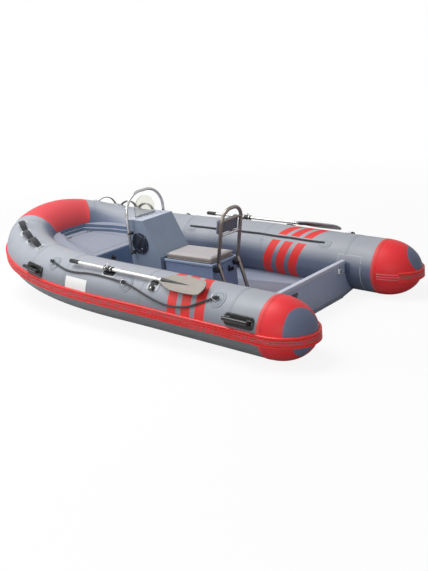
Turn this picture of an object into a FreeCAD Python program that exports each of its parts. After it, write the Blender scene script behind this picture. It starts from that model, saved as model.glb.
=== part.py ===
# A small rigid inflatable boat with an aluminium V hull, a jockey console with a seat, a backrest
# frame and two oars clipped to its tubes. X points to the bow, Y to port and Z up. The origin is
# amidships, on the boat's centre plane, at the level of the water.
import FreeCAD
import Part
import math
import os
import Sketcher
from FreeCAD import Placement, Rotation, Vector

doc = FreeCAD.newDocument("rib_boat")
sheet = doc.addObject("Spreadsheet::Sheet", "sizes")

# The driving dimensions, in millimetres, with what each one measures.
DIMENSIONS = [
    # Tubes
    ("tube_radius", 225.0, "radius of the inflated tubes"),
    ("tube_spacing_half", 751.0, "from the centre plane to a tube's axis along the straight sides"),
    ("seam_aft_place", -1500.0, "where the stern cones start"),
    ("axis_height_aft", 215.6, "height of the tube's axis at the stern seam"),
    ("axis_rise", 47.2, "rise of the axis along the straight side"),
    ("curve_start_place", -304.0, "where the straight side ends"),
    ("curve_lead", 531.6, "straight lead of the curve towards the bow"),
    ("shoulder_place", 1620.0, "second pole of the bow's curve, along the boat"),
    ("shoulder_half", 689.0, "second pole of the bow's curve, from the centre plane"),
    ("shoulder_height", 222.0, "second pole of the bow's curve, height"),
    ("bow_axis_place", 1700.0, "where the bow tube's axis crosses the centre plane"),
    ("bow_corner_half", 458.5, "third pole of the bow's curve, from the centre plane"),
    ("bow_axis_height", 511.0, "height of the bow tube's axis"),
    ("bow_seam_run", 290.0, "from the centre plane to the red section's seam, along the axis"),
    ("cone_length", 296.0, "length of a stern cone past its seam"),
    ("fit_gap", 0.3, "gap between a tube and what is fitted round it"),
    ("patch_thickness", 2.5, "thickness of a glued patch"),
    # Rub strake
    ("strake_height", 80.0, "height of the rub strake"),
    ("strake_base", 9.0, "thickness of the rub strake in its grooves"),
    ("strake_rib", 6.0, "how far the ribs stand out of the grooves"),
    ("strake_drop", 14.0, "how far the strake's middle lies below the tube's axis"),
    # Hull
    ("transom_face_place", -1245.0, "aft face of the transom"),
    ("transom_thickness", 34.0, "thickness of the transom"),
    ("transom_top", 288.0, "height of the transom's top"),
    ("cap_height", 14.0, "height of the cap on the transom"),
    ("cap_overhang", 4.0, "how far the cap stands out on each side"),
    ("mount_face_half", 145.0, "half width of the raised face that an outboard's bracket lies on"),
    ("mount_face_low", 60.0, "lower edge of that face"),
    ("mount_face_high", 265.0, "upper edge of that face"),
    ("mount_face_proud", 1.5, "how far that face stands out of the transom"),
    ("keel_depth", 60.0, "depth of the keel below the water"),
    ("stem_rise", 316.0, "rise of the keel to the stem"),
    ("stem_place", 1590.0, "where the keel ends under the bow tube"),
    ("stem_half", 60.0, "half width of the stem"),
    ("hull_wall", 6.0, "thickness of the hull's plates"),
    ("spray_rail_width", 42.0, "width of a lifting strake under the hull"),
    ("spray_rail_depth", 9.0, "depth of a lifting strake at its outer edge"),
    ("floor_height", 34.0, "underside of the cockpit floor"),
    ("floor_thickness", 6.0, "thickness of the cockpit floor"),
    # Bow deck
    ("deck_aft_place", 800.0, "aft edge of the bow deck"),
    ("deck_front_place", 1462.0, "front edge of the bow deck's well"),
    ("deck_aft_height", 360.0, "top of the bow deck at its aft edge"),
    ("deck_front_height", 434.0, "top of the bow deck at its front edge"),
    ("deck_thickness", 8.0, "thickness of the deck plate"),
    ("deck_half_aft", 400.0, "half width of the deck's well at its aft edge"),
    ("deck_half_mid", 262.0, "half width of the deck's well at its middle station"),
    ("deck_mid_place", 1215.0, "middle station of the deck's well"),
    ("deck_half_front", 118.0, "half width of the deck's well at its front edge"),
    ("ledge_low", 26.0, "height of the lower ledge round the deck"),
    ("ledge_high", 56.0, "height of the upper ledge round the deck"),
    ("ledge_step", 36.0, "width of the lower ledge"),
    ("step_thickness", 8.0, "thickness of the step's face plate"),
    ("bow_lid_aft_place", 880.0, "aft edge of the bow hatch lid"),
    ("bow_lid_front_place", 1392.0, "front edge of the bow hatch lid"),
    ("bow_lid_half_aft", 270.0, "half width of the bow hatch lid at its aft edge"),
    ("bow_lid_half_front", 150.0, "half width of the bow hatch lid at its front edge"),
    ("lid_gap", 5.0, "gap round a lid"),
    ("hinge_radius", 4.0, "radius of a lid hinge's barrel"),
    ("hinge_length", 60.0, "length of a lid hinge's barrel"),
    ("hinge_half", 95.0, "from the centre plane to the middle of a lid hinge's barrel"),
    ("rim_width", 22.0, "width of the rim that a lid lies on"),
    ("rest_gap", 0.3, "gap under a lid at rest"),
    ("bow_latch_half", 131.0, "from the centre plane to a latch of the bow lid"),
    ("bow_latch_length", 62.0, "length of a latch of the bow lid"),
    ("bow_latch_width", 30.0, "width of a latch of the bow lid"),
    ("bow_latch_height", 5.0, "height of a latch of the bow lid"),
    ("knob_radius", 15.0, "radius of the knob on the step"),
    ("knob_length", 22.0, "length of the knob on the step"),
    ("knob_half", 125.0, "from the centre plane to the knob"),
    ("knob_height", 294.0, "height of the knob"),
    # Console
    ("console_half", 186.0, "half width of the console"),
    ("console_wall", 16.0, "thickness of the console's walls"),
    ("console_front_place", 470.0, "front face of the console"),
    ("console_top_aft_place", 288.0, "aft edge of the console's top"),
    ("console_aft_place", 122.0, "aft face of the console's foot"),
    ("console_top_height", 690.0, "top of the console"),
    ("console_knee_height", 378.0, "lower edge of the sloping panel"),
    ("port_place", 343.0, "middle of the round port, along the boat"),
    ("port_height", 484.0, "middle of the round port, height"),
    ("port_ring_radius", 95.0, "outer radius of the port's ring"),
    ("port_hole_radius", 76.0, "inner radius of the port's ring"),
    ("port_ring_height", 8.0, "how far the port's ring stands out"),
    ("port_lid_height", 11.0, "how far the port's lid stands out"),
    ("port_lid_depth", 10.0, "how far the port's lid reaches into the wall"),
    ("hoop_radius", 12.5, "radius of the hoop's pipe"),
    ("hoop_half", 225.0, "half width of the hoop, between axes"),
    ("hoop_place", 428.0, "where the hoop stands, along the boat"),
    ("hoop_foot_height", 384.0, "lower ends of the hoop"),
    ("hoop_top_height", 911.0, "axis of the hoop at its top"),
    ("hoop_bend", 188.0, "bend radius of the hoop"),
    ("clamp_length", 30.0, "length of a hoop clamp along the boat"),
    ("clamp_height", 24.0, "height of a hoop clamp"),
    ("clamp_low_height", 402.0, "middle of the lower hoop clamps"),
    ("clamp_high_height", 572.0, "middle of the upper hoop clamps"),
    ("screen_half", 120.0, "half width of the windscreen"),
    ("screen_height", 172.0, "height of the windscreen above the console"),
    ("screen_thickness", 5.0, "thickness of the windscreen"),
    ("screen_place", 436.0, "front face of the windscreen"),
    ("screen_foot_height", 12.0, "height of the windscreen's foot strip"),
    # Seat
    ("seat_front_place", 100.0, "front face of the seat box"),
    ("seat_aft_place", -425.0, "aft face of the seat box"),
    ("seat_half", 155.0, "half width of the seat box"),
    ("seat_wall", 14.0, "thickness of the seat box's walls"),
    ("seat_box_top", 345.0, "top of the seat box"),
    ("seat_lid_half", 165.0, "half width of the seat lid"),
    ("seat_lid_front_place", 102.0, "front edge of the seat lid"),
    ("seat_lid_aft_place", -436.0, "aft edge of the seat lid"),
    ("seat_lid_thickness", 22.0, "thickness of the seat lid"),
    ("cushion_half", 147.0, "half width of the cushion"),
    ("cushion_front_place", 92.0, "front edge of the cushion"),
    ("cushion_aft_place", -414.0, "aft edge of the cushion"),
    ("cushion_thickness", 48.0, "thickness of the cushion"),
    ("cushion_round", 10.0, "radius of the cushion's edges"),
    ("latch_width", 70.0, "width of the seat latch"),
    ("latch_height", 22.0, "height of the seat latch"),
    ("latch_depth", 9.0, "how far the seat latch stands out"),
    ("latch_half", -71.0, "middle of the seat latch, from the centre plane"),
    ("latch_place_height", 270.0, "middle of the seat latch, height"),
    # Backrest
    ("back_radius", 15.0, "radius of the backrest frame's pipe"),
    ("back_half", 125.0, "half width of the backrest frame, between axes"),
    ("back_foot_place", -566.0, "foot of the backrest frame, along the boat"),
    ("back_knee_place", -470.0, "knee of the backrest frame, along the boat"),
    ("back_knee_height", 372.0, "knee of the backrest frame, height"),
    ("back_top_place", -562.0, "top of the backrest frame, along the boat"),
    ("back_top_height", 815.0, "axis of the backrest frame at its top"),
    ("back_bend", 110.0, "bend radius of the backrest frame's top"),
    ("bar_radius", 9.0, "radius of the backrest's crossbars"),
    ("bar_low_height", 606.0, "lower crossbar"),
    ("bar_high_height", 724.0, "upper crossbar"),
    ("pad_half", 128.0, "half width of the backrest pad"),
    ("pad_height", 128.0, "height of the backrest pad"),
    ("pad_thickness", 44.0, "thickness of the backrest pad"),
    ("pad_round", 9.0, "radius of the pad's edges"),
    ("foot_length", 78.0, "length of a foot plate"),
    ("foot_width", 56.0, "width of a foot plate"),
    ("foot_thickness", 7.0, "thickness of a foot plate"),
    ("knee_clamp_length", 34.0, "height of a clamp at the backrest's knee"),
    ("knee_clamp_drop", 54.0, "from the knee down to the middle of a clamp"),
    ("knee_clamp_width", 44.0, "width of a clamp at the backrest's knee"),
    # Oars
    ("oar_offset", 270.0, "from the tube's axis to the oar's axis"),
    ("oar_angle", 58.0, "where the oar lies round the tube, in degrees above level"),
    ("oar_grip_place", 466.0, "end of the oar's grip"),
    ("oar_tip_place", -976.0, "tip of the oar's blade"),
    ("oar_pin_place", 0.0, "where the oar's pin stands"),
    ("shaft_radius", 14.0, "radius of the oar's shaft"),
    ("grip_radius", 17.0, "radius of the oar's grip"),
    ("grip_length", 108.0, "length of the oar's grip"),
    ("collar_radius", 21.0, "radius of the collar at the oar's pin"),
    ("collar_length", 96.0, "length of the collar at the oar's pin"),
    ("blade_length", 430.0, "length of the oar's blade"),
    ("blade_half", 74.0, "half width of the oar's blade"),
    ("blade_thickness", 8.0, "thickness of the oar's blade"),
    ("neck_length", 150.0, "length of the black wedge on the blade"),
    ("pin_radius", 5.0, "radius of the oar's pin"),
    ("pin_gap", 0.4, "gap round the oar's pin"),
    ("pin_lean", 69.0, "lean of the oar's pin, in degrees above level"),
    ("lock_block_length", 120.0, "length of an oarlock block"),
    ("lock_block_width", 66.0, "width of an oarlock block"),
    ("nut_radius", 13.0, "radius of the wing nut on the pin"),
    ("nut_height", 10.0, "height of the wing nut on the pin"),
    ("clip_place", -490.0, "where the oar's clip sits"),
    ("clip_length", 66.0, "length of an oar's cradle along the tube"),
    ("clip_width", 56.0, "width of an oar's cradle"),
    ("clip_height", 12.0, "height of an oar's cradle above the tube"),
    ("clip_groove_radius", 25.0, "radius of the groove in an oar's cradle"),
    ("lock_gap", 2.5, "gap between an oarlock block and the collar, and under the nut"),
    ("pin_depth", 8.0, "how far the pin reaches into its block"),
    # Fittings on the tubes
    ("ring_radius", 20.0, "middle radius of a D-ring"),
    ("ring_wire", 3.0, "wire radius of a D-ring"),
    ("ring_corner", 6.0, "corner radius of a D-ring at its bar"),
    ("ring_bar_reach", 18.0, "from a D-ring's middle to its bar"),
    ("ring_tilt", 38.0, "lean of a D-ring away from the tube, in degrees"),
    ("tab_length", 20.0, "length of the tab that holds a D-ring"),
    ("tab_width", 24.0, "width of the tab that holds a D-ring"),
    ("ring_patch_radius", 66.0, "radius of a D-ring's patch"),
    ("rope_radius", 6.0, "radius of the life line"),
    ("rope_gap", 2.0, "gap between the life line and the tube"),
    ("inner_line_radius", 6.0, "radius of the inner grab line"),
    ("inner_line_front_place", 456.0, "front end of the inner grab line"),
    ("inner_line_aft_place", -1005.0, "aft end of the inner grab line"),
    ("handle_length", 250.0, "length of a carry handle"),
    ("handle_width", 88.0, "width of a carry handle's foot"),
    ("handle_height", 50.0, "middle of a carry handle's grip above the tube"),
    ("handle_grip_radius", 14.0, "radius of a carry handle's grip"),
    ("handle_post", 34.0, "length of a carry handle's post"),
    ("handle_foot_height", 8.0, "height of a carry handle's foot"),
    ("strap_length", 176.0, "length of a webbing strap"),
    ("strap_width", 30.0, "width of a webbing strap"),
    ("strap_rise", 52.0, "height of a webbing strap's arch"),
    ("strap_thickness", 4.0, "thickness of a webbing strap"),
    ("base_length", 60.0, "length of a strap's patch"),
    ("base_width", 50.0, "width of a strap's patch"),
    ("plate_length", 270.0, "length of the blank plate"),
    ("plate_width", 94.0, "width of the blank plate"),
    ("eye_radius", 7.0, "wire radius of a transom eye"),
    ("eye_hole", 12.0, "radius of the hole of a transom eye"),
    ("eye_half", 430.0, "from the centre plane to a transom eye"),
    ("eye_height", 238.0, "middle of a transom eye, height"),
    ("eye_base", 8.0, "thickness of a transom eye's base"),
    ("eye_thickness", 12.0, "thickness of an eye's lug"),
    ("eye_lean", 15.0, "lean of a transom eye's hole towards the middle of the boat, in degrees"),
    ("bow_eye_hole", 14.0, "radius of the hole of the bow eye"),
    ("bow_eye_wire", 7.0, "wire radius of the bow eye"),
    ("bow_eye_turn", 25.0, "turn of the bow eye's hole from square across the boat, in degrees"),
    ("boot_place_half", 190.0, "middle of the drain's boot, from the centre plane"),
    ("boot_half", 34.0, "half width of the drain's boot"),
    ("boot_top_height", 240.0, "top of the drain's boot"),
    ("boot_drop", 52.0, "height of the drain's boot"),
    ("boot_depth", 12.0, "how far the drain's boot stands out"),
    ("overrun", 20.0, "how far a cut runs past what it cuts"),
]
for row, (word, number, meaning) in enumerate(DIMENSIONS, start=1):
    sheet.set("A%d" % row, word)
    sheet.set("B%d" % row, repr(number))
    sheet.set("C%d" % row, meaning)
    sheet.setAlias("B%d" % row, word)
doc.recompute()


class Length(float):
    """A number from the sheet that remembers the expression it comes from."""

    def __new__(cls, number, text):
        made = super().__new__(cls, number)
        made.text = text
        return made

    def _joined(self, other, sign, number):
        return Length(number, "(%s %s %s)" % (self.text, sign, getattr(other, "text", repr(float(other)))))

    def __add__(self, other):
        return self._joined(other, "+", float(self) + float(other))

    def __sub__(self, other):
        return self._joined(other, "-", float(self) - float(other))

    def __mul__(self, other):
        return self._joined(other, "*", float(self) * float(other))

    def __truediv__(self, other):
        return self._joined(other, "/", float(self) / float(other))

    def __neg__(self):
        return Length(-float(self), "(-%s)" % self.text)


class Sizes:
    """Each alias of the sheet as an attribute."""

    def __getattr__(self, word):
        return Length(float(sheet.get(word)), "sizes.%s" % word)


size = Sizes()
ORIGIN = Vector(0, 0, 0)
FORWARD = Vector(1, 0, 0)
PORT = Vector(0, 1, 0)
UP = Vector(0, 0, 1)
nodes = []


def keep(thing, label):
    """Give an object the name of its file and put it on the list of sub-parts."""
    thing.Label = label
    nodes.append(thing)
    return thing


def feature(label, shape):
    """A sub-part whose shape is made by Part's own functions."""
    if len(shape.Solids) == 1:
        shape = shape.Solids[0]
    thing = doc.addObject("Part::Feature", label + "_shape")
    thing.Shape = shape
    thing.Placement = shape.Placement
    return keep(thing, label)


def mirrored(shape):
    return shape.mirror(ORIGIN, PORT)


def both_sides(solids):
    """Port solids and their mirror images, as one compound."""
    return Part.makeCompound(list(solids) + [mirrored(solid) for solid in solids])


# The axis of the port tube: a straight side that rises gently, then one curve round the bow.
aft_point = Vector(size.seam_aft_place, size.tube_spacing_half, size.axis_height_aft)
turn_point = Vector(size.curve_start_place, size.tube_spacing_half, size.axis_height_aft + size.axis_rise)
side_slope = size.axis_rise / (size.curve_start_place - size.seam_aft_place)
bow_curve = Part.BezierCurve()
bow_curve.setPoles([
    turn_point,
    turn_point + Vector(size.curve_lead, 0, size.curve_lead * side_slope),
    Vector(size.shoulder_place, size.shoulder_half, size.shoulder_height),
    Vector(size.bow_axis_place, size.bow_corner_half, size.bow_axis_height),
    Vector(size.bow_axis_place, 0, size.bow_axis_height),
])
side_length = aft_point.distanceToPoint(turn_point)
curve_length = bow_curve.length()
axis_length = side_length + curve_length


def axis_at(run):
    """Point and direction of the tube's axis, a given run from the stern seam."""
    if run <= side_length:
        along = (turn_point - aft_point).normalize()
        return aft_point + along * run, along
    place = bow_curve.parameterAtDistance(min(run, axis_length) - side_length, 0)
    return bow_curve.value(place), bow_curve.tangent(place)[0]


def run_at_place(place):
    """Run along the tube's axis to where it passes a place along the boat."""
    low, high = 0.0, axis_length
    while high - low > size.fit_gap:
        middle = (low + high) / 2
        if axis_at(middle)[0].x < place:
            low = middle
        else:
            high = middle
    return low


def outwards(along):
    """The level direction away from the boat, square to the tube's axis."""
    return Vector(-along.y, along.x, 0).normalize()


def on_tube(run, degrees, radius):
    """Point round the tube's axis, with the directions along, outwards from the tube, and across."""
    middle, along = axis_at(run)
    side = outwards(along)
    top = along.cross(side).normalize()
    turn = math.radians(degrees)
    normal = side * math.cos(turn) + top * math.sin(turn)
    return middle + normal * radius, along, normal, normal.cross(along)


def axis_wire(run_from, run_to):
    """The tube's axis between two runs from the stern seam."""
    edges = []
    if run_from < side_length:
        edges.append(Part.LineSegment(axis_at(run_from)[0], turn_point).toShape())
    start = bow_curve.parameterAtDistance(max(0.0, run_from - side_length), 0)
    end = bow_curve.parameterAtDistance(run_to - side_length, 0)
    edges.append(bow_curve.toShape(max(start, bow_curve.FirstParameter), min(end, bow_curve.LastParameter)))
    return Part.Wire(edges)


def swept(path, outline):
    """A solid swept along a path with its outline kept upright."""
    pipe = Part.BRepOffsetAPI.MakePipeShell(path)
    pipe.setBiNormalMode(UP)
    pipe.add(outline)
    pipe.build()
    pipe.makeSolid()
    return pipe.shape()


def swept_round(path, outline):
    """A solid swept along a path with its outline kept square to the path."""
    pipe = Part.BRepOffsetAPI.MakePipeShell(path)
    pipe.setFrenetMode(False)
    pipe.add(outline)
    pipe.build()
    pipe.makeSolid()
    return pipe.shape()


def tube_between(run_from, run_to, radius):
    middle, along = axis_at(run_from)
    outline = Part.Wire([Part.makeCircle(radius, middle, along)])
    return swept_round(axis_wire(run_from, run_to), outline)


seam_run = axis_length - size.bow_seam_run
port_clear = tube_between(0.0, axis_length, size.tube_radius + size.fit_gap)
starboard_clear = mirrored(port_clear)
port_skin = tube_between(0.0, axis_length, size.tube_radius + size.fit_gap + size.patch_thickness).cut(port_clear)


def off_tubes(shape):
    """Cut a piece back to where the tubes leave room for it."""
    return shape.cut(port_clear).cut(starboard_clear)


def turned(shape, point, along, normal):
    """Carry a shape made round the origin (X along, Z outwards) to a place on the tube."""
    across = normal.cross(along).normalize()
    matrix = FreeCAD.Matrix(along.x, across.x, normal.x, point.x,
                            along.y, across.y, normal.y, point.y,
                            along.z, across.z, normal.z, point.z,
                            0, 0, 0, 1)
    carried = shape.copy()
    carried.Placement = Placement(matrix).multiply(shape.Placement)
    return carried


def rounded_block(length, width, height, corner):
    """A block on the XY plane round the origin with rounded upright edges."""
    block = Part.makeBox(length, width, height, Vector(-length / 2, -width / 2, 0))
    upright = [edge for edge in block.Edges if abs(edge.tangentAt(edge.FirstParameter).z) > 0.9]
    return block.makeFillet(corner, upright)


def patch(run, degrees, outline_solid):
    """A thin patch glued on the port tube, as far as a solid made round the origin reaches."""
    point, along, normal, _ = on_tube(run, degrees, size.tube_radius)
    return turned(outline_solid, point, along, normal).common(port_skin)


def patch_block(length, width, corner):
    """A rounded block through the XY plane, to cut a patch."""
    block = rounded_block(length, width, size.overrun * 2, corner)
    block.translate(UP * -size.overrun)
    return block


def disc(radius):
    """A short upright cylinder through the XY plane, to cut a round patch."""
    return Part.makeCylinder(radius, size.overrun * 4, Vector(0, 0, -size.overrun * 2))


# Tubes, the red section round the bow, and the stern cones.
port_tube = tube_between(0.0, seam_run, size.tube_radius)
feature("tube_port", port_tube)
feature("tube_starboard", mirrored(port_tube))
half_bow = axis_wire(seam_run, axis_length)
bow_start, bow_heading = axis_at(seam_run)
bow_outline = Part.Wire([Part.makeCircle(size.tube_radius, bow_start, bow_heading)])
feature("bow_section", swept_round(Part.Wire(half_bow.Edges + mirrored(half_bow).Edges), bow_outline))


def cone_radius_at(depth):
    """Radius of the stern cone at a depth aft of its seam: a half ellipse."""
    share = min(1.0, depth / size.cone_length)
    return size.tube_radius * math.sqrt(1 - share * share)


def stern_cone(extra):
    """The half ellipse of the stern, as much larger all round as is asked."""
    along = axis_at(0.0)[1]
    ellipse = Part.Ellipse(ORIGIN, size.cone_length + extra, size.tube_radius + extra)
    quarter = ellipse.toShape(math.pi / 2, math.pi)
    tip = Vector(-size.cone_length - extra, 0, 0)
    rim = Vector(0, size.tube_radius + extra, 0)
    outline = Part.Wire([quarter, Part.LineSegment(tip, ORIGIN).toShape(), Part.LineSegment(ORIGIN, rim).toShape()])
    solid = Part.Face(outline).revolve(ORIGIN, FORWARD, 360)
    return turned(solid, aft_point, along, along.cross(outwards(along)).normalize())


cone = stern_cone(0.0)
feature("cone_port", cone)
feature("cone_starboard", mirrored(cone))


# Rub strake: five ribs on a flat band, round the cone's tip, along the side and to the bow's middle.
RIB_COUNT = 5
CONE_TURN_SHARES = [0.55, 0.42, 0.28, 0.12, -0.06, -0.24, -0.42, -0.6, -0.76, -0.9]
SIDE_RUN_SHARES = [0.02, 0.12, 0.22, 0.32, 0.42, 0.5, 0.57, 0.64, 0.7, 0.76, 0.82, 0.87, 0.92, 0.96, 1.0]


def strake_outline(point, out):
    """The ribbed section, on the surface of a tube whose outward direction is given."""
    half = size.strake_height / 2
    inner = size.tube_radius + size.fit_gap
    level = -size.strake_drop
    centre = point - out * size.tube_radius

    def corner(reach, height):
        return centre + out * reach + UP * height

    def bore(height):
        return math.sqrt(inner * inner - height * height)

    groove = size.tube_radius + size.strake_base
    pitch = size.strake_height / RIB_COUNT
    corners = [corner(groove, level - half)]
    for rib in range(RIB_COUNT):
        foot = level - half + pitch * rib
        if rib:
            corners.append(corner(groove, foot + pitch / 8))
        corners.append(corner(groove + size.strake_rib, foot + pitch / 4))
        corners.append(corner(groove + size.strake_rib, foot + pitch * 3 / 4))
        if rib < RIB_COUNT - 1:
            corners.append(corner(groove, foot + pitch * 7 / 8))
    corners.append(corner(groove, level + half))
    edges = [Part.LineSegment(a, b).toShape() for a, b in zip(corners, corners[1:])]
    top = corner(bore(level + half), level + half)
    foot = corner(bore(level - half), level - half)
    edges.append(Part.LineSegment(corners[-1], top).toShape())
    edges.append(Part.Arc(top, corner(bore(level), level), foot).toShape())
    edges.append(Part.LineSegment(foot, corners[0]).toShape())
    return Part.Wire(edges)


def strake_path():
    along = axis_at(0.0)[1]
    side = outwards(along)
    places = []
    for share in CONE_TURN_SHARES:
        turn = math.pi / 2 * share
        depth = size.cone_length * math.cos(turn)
        places.append(aft_point - along * depth - side * (size.tube_radius * math.sin(turn)))
    for share in SIDE_RUN_SHARES:
        middle, direction = axis_at(axis_length * share)
        places.append(middle + outwards(direction) * size.tube_radius)
    places.append(Vector(places[-2].x, -places[-2].y, places[-2].z))
    curve = Part.BSplineCurve()
    curve.interpolate(Points=places)
    return curve


path = strake_path()
first = path.value(path.FirstParameter)
heading = path.tangent(path.FirstParameter)[0]
strake = swept(Part.Wire([path.toShape()]), strake_outline(first, outwards(heading)))
port_half = Part.makeBox(size.bow_axis_place * 4, size.bow_axis_place, size.bow_axis_place,
                         Vector(-size.bow_axis_place * 2, size.fit_gap / 2, -size.bow_axis_place / 2))
strake = strake.common(port_half).cut(port_clear).cut(stern_cone(size.fit_gap))
strake = max(strake.Solids, key=lambda solid: solid.Volume)
feature("rubstrake_port", strake)
feature("rubstrake_starboard", mirrored(strake))


# Hull: V sections from the transom to the stem, each closed above by the plates that carry the floor.
STATION_SHARES = [0.0, 0.2, 0.4, 0.55, 0.7, 0.82, 0.92, 1.0]
KEEL_RISE_SHARES = [0.0, 0.0, 0.0, 0.012, 0.085, 0.27, 0.56, 1.0]
CHINE_DEGREES = -116.0
INNER_DEGREES = -133.0
RAIL_SHARES = [0.36, 0.68]


def tube_line(degrees, radius):
    """Points along the tube at one angle round it, as places along the boat with half width and height."""
    count = 60
    return [on_tube(axis_length * step / count, degrees, radius)[0] for step in range(count + 1)]


def line_at(line, place):
    """Half width and height of such a line at a place along the boat."""
    for low, high in zip(line, line[1:]):
        if low.x <= place <= high.x:
            share = (place - low.x) / (high.x - low.x)
            return low.y + (high.y - low.y) * share, low.z + (high.z - low.z) * share
    return None


chine_line = tube_line(CHINE_DEGREES, size.tube_radius - size.hull_wall)
inner_line = tube_line(INNER_DEGREES, size.tube_radius - size.hull_wall)


def station_place(share):
    return size.transom_face_place + (size.stem_place - size.transom_face_place) * share


def hull_corners(share, rise_share):
    """Half of one V section, from the keel out to the chine and back in to the middle of the floor."""
    place = station_place(share)
    keel = -size.keel_depth + size.stem_rise * rise_share
    chine = line_at(chine_line, place)
    inner = line_at(inner_line, place)
    if share == STATION_SHARES[-1] or chine is None or inner is None:
        top = size.bow_axis_height - size.tube_radius + size.overrun * 2
        chine = (size.stem_half, top)
        inner = (size.stem_half - size.hull_wall * 2, top + size.hull_wall)

    def bottom(half):
        return keel + (chine[1] - keel) * half / chine[0]

    corners = [(0, keel)]
    fade = min(1.0, 0.2 + (1 - share) * 2)
    for rail_share in RAIL_SHARES:
        start = chine[0] * rail_share
        end = start + size.spray_rail_width * fade * chine[0] / size.tube_spacing_half
        corners += [(start, bottom(start)), (end, bottom(start) - size.spray_rail_depth * fade * 0.4)]
        corners.append((end, bottom(end)))
    corners += [chine, inner]
    floor = max(float(size.floor_height), keel + size.hull_wall * 5)
    edge = chine[0] * (floor - keel - size.hull_wall) / (chine[1] - keel)
    edge = min(edge, inner[0] - size.hull_wall)
    corners.append((edge, floor))
    return [Vector(place, half, height) for half, height in corners]


def hull_section(share, rise_share):
    half = hull_corners(share, rise_share)
    other = [Vector(point.x, -point.y, point.z) for point in reversed(half[1:])]
    loop = half + other
    return Part.makePolygon(loop + [loop[0]])


sections = [hull_section(share, rise) for share, rise in zip(STATION_SHARES, KEEL_RISE_SHARES)]
hull = off_tubes(Part.makeLoft(sections, True, True))
feature("hull", hull)


def floor_half_at(place):
    """Half width of the level floor bearing at a place along the boat."""
    shares = list(zip(STATION_SHARES, KEEL_RISE_SHARES))
    for low, high in zip(shares, shares[1:]):
        start = station_place(low[0])
        end = station_place(high[0])
        if start <= place <= end:
            share = (place - start) / (end - start)
            low_edge = hull_corners(*low)[-1].y
            high_edge = hull_corners(*high)[-1].y
            return low_edge + (high_edge - low_edge) * share
    return 0.0


floor_aft = size.transom_face_place + size.transom_thickness + size.fit_gap
floor_front = size.deck_aft_place - size.step_thickness - size.fit_gap
floor_places = [floor_aft] + [station_place(share) for share in STATION_SHARES[1:4]] + [floor_front]
floor_side = [Vector(place, floor_half_at(place) - size.fit_gap, size.floor_height) for place in floor_places]
floor_loop = floor_side + [Vector(point.x, -point.y, point.z) for point in reversed(floor_side)]
floor_face = Part.Face(Part.makePolygon(floor_loop + [floor_loop[0]]))
feature("cockpit_floor", floor_face.extrude(UP * size.floor_thickness).cut(hull))
floor_top = size.floor_height + size.floor_thickness

# Transom: a plate between the tubes with the hull's V below it.
aft_corners = hull_corners(0.0, 0.0)
chine_aft = aft_corners[-3]
keel_aft = aft_corners[0]
transom_half = size.tube_spacing_half
transom_loop = [
    Vector(size.transom_face_place, 0, keel_aft.z),
    Vector(size.transom_face_place, chine_aft.y, chine_aft.z),
    Vector(size.transom_face_place, transom_half, size.axis_height_aft),
    Vector(size.transom_face_place, transom_half, size.transom_top),
    Vector(size.transom_face_place, -transom_half, size.transom_top),
    Vector(size.transom_face_place, -transom_half, size.axis_height_aft),
    Vector(size.transom_face_place, -chine_aft.y, chine_aft.z),
    Vector(size.transom_face_place, 0, keel_aft.z),
]
transom = Part.Face(Part.makePolygon(transom_loop)).extrude(FORWARD * size.transom_thickness)
transom = off_tubes(transom).cut(hull)
mount_face = Part.makeBox(size.mount_face_proud, size.mount_face_half * 2, size.mount_face_high - size.mount_face_low,
                          Vector(size.transom_face_place - size.mount_face_proud, -size.mount_face_half,
                                 size.mount_face_low))
transom = max(transom.Solids, key=lambda solid: solid.Volume).fuse(mount_face).removeSplitter()
feature("transom", transom)
cap_depth = size.transom_thickness + size.cap_overhang * 2
cap_block = Part.makeBox(cap_depth, transom_half * 2, size.cap_height + size.cap_overhang * 3, Vector(
    size.transom_face_place - size.cap_overhang, -transom_half, size.transom_top - size.cap_overhang * 3))
cap_slot = Part.makeBox(size.transom_thickness + size.fit_gap * 2, transom_half * 2, size.cap_overhang * 3, Vector(
    size.transom_face_place - size.fit_gap, -transom_half, size.transom_top - size.cap_overhang * 3))
feature("transom_cap", off_tubes(cap_block.cut(cap_slot)))


# Bow deck: a plate that rises to the bow, with a hatch, a stepped ledge round it and a step face.
deck_slope = (size.deck_front_height - size.deck_aft_height) / (size.deck_front_place - size.deck_aft_place)
deck_along = Vector(1, 0, deck_slope).normalize()
deck_normal = Vector(-deck_slope, 0, 1).normalize()


def deck_point(place, half, above=0.0):
    """Point on the deck's top, or a height above it."""
    height = size.deck_aft_height + (place - size.deck_aft_place) * deck_slope
    return Vector(place, half, height) + deck_normal * above


def deck_plate(corners, above, thickness):
    """Plate with its top a height above the deck, from (place, half) corners of its port side."""
    loop = [deck_point(place, half, above) for place, half in corners]
    loop += [deck_point(place, -half, above) for place, half in reversed(corners)]
    return Part.Face(Part.makePolygon(loop + [loop[0]])).extrude(-deck_normal * thickness)


deck_reach = [(size.deck_aft_place, size.tube_spacing_half * 0.86),
              (size.deck_mid_place, size.tube_spacing_half * 0.7),
              (size.bow_axis_place - size.tube_radius / 2, size.bow_corner_half * 0.6),
              (size.bow_axis_place - size.tube_radius / 3, size.stem_half)]
hatch_corners = [(size.bow_lid_aft_place, size.bow_lid_half_aft), (size.bow_lid_front_place, size.bow_lid_half_front)]


def grown(corners, by):
    """Corners of a tapering panel moved out by a distance on every side."""
    (aft, aft_half), (front, front_half) = corners
    return [(aft - by, aft_half + by), (front + by, front_half + by)]


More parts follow.
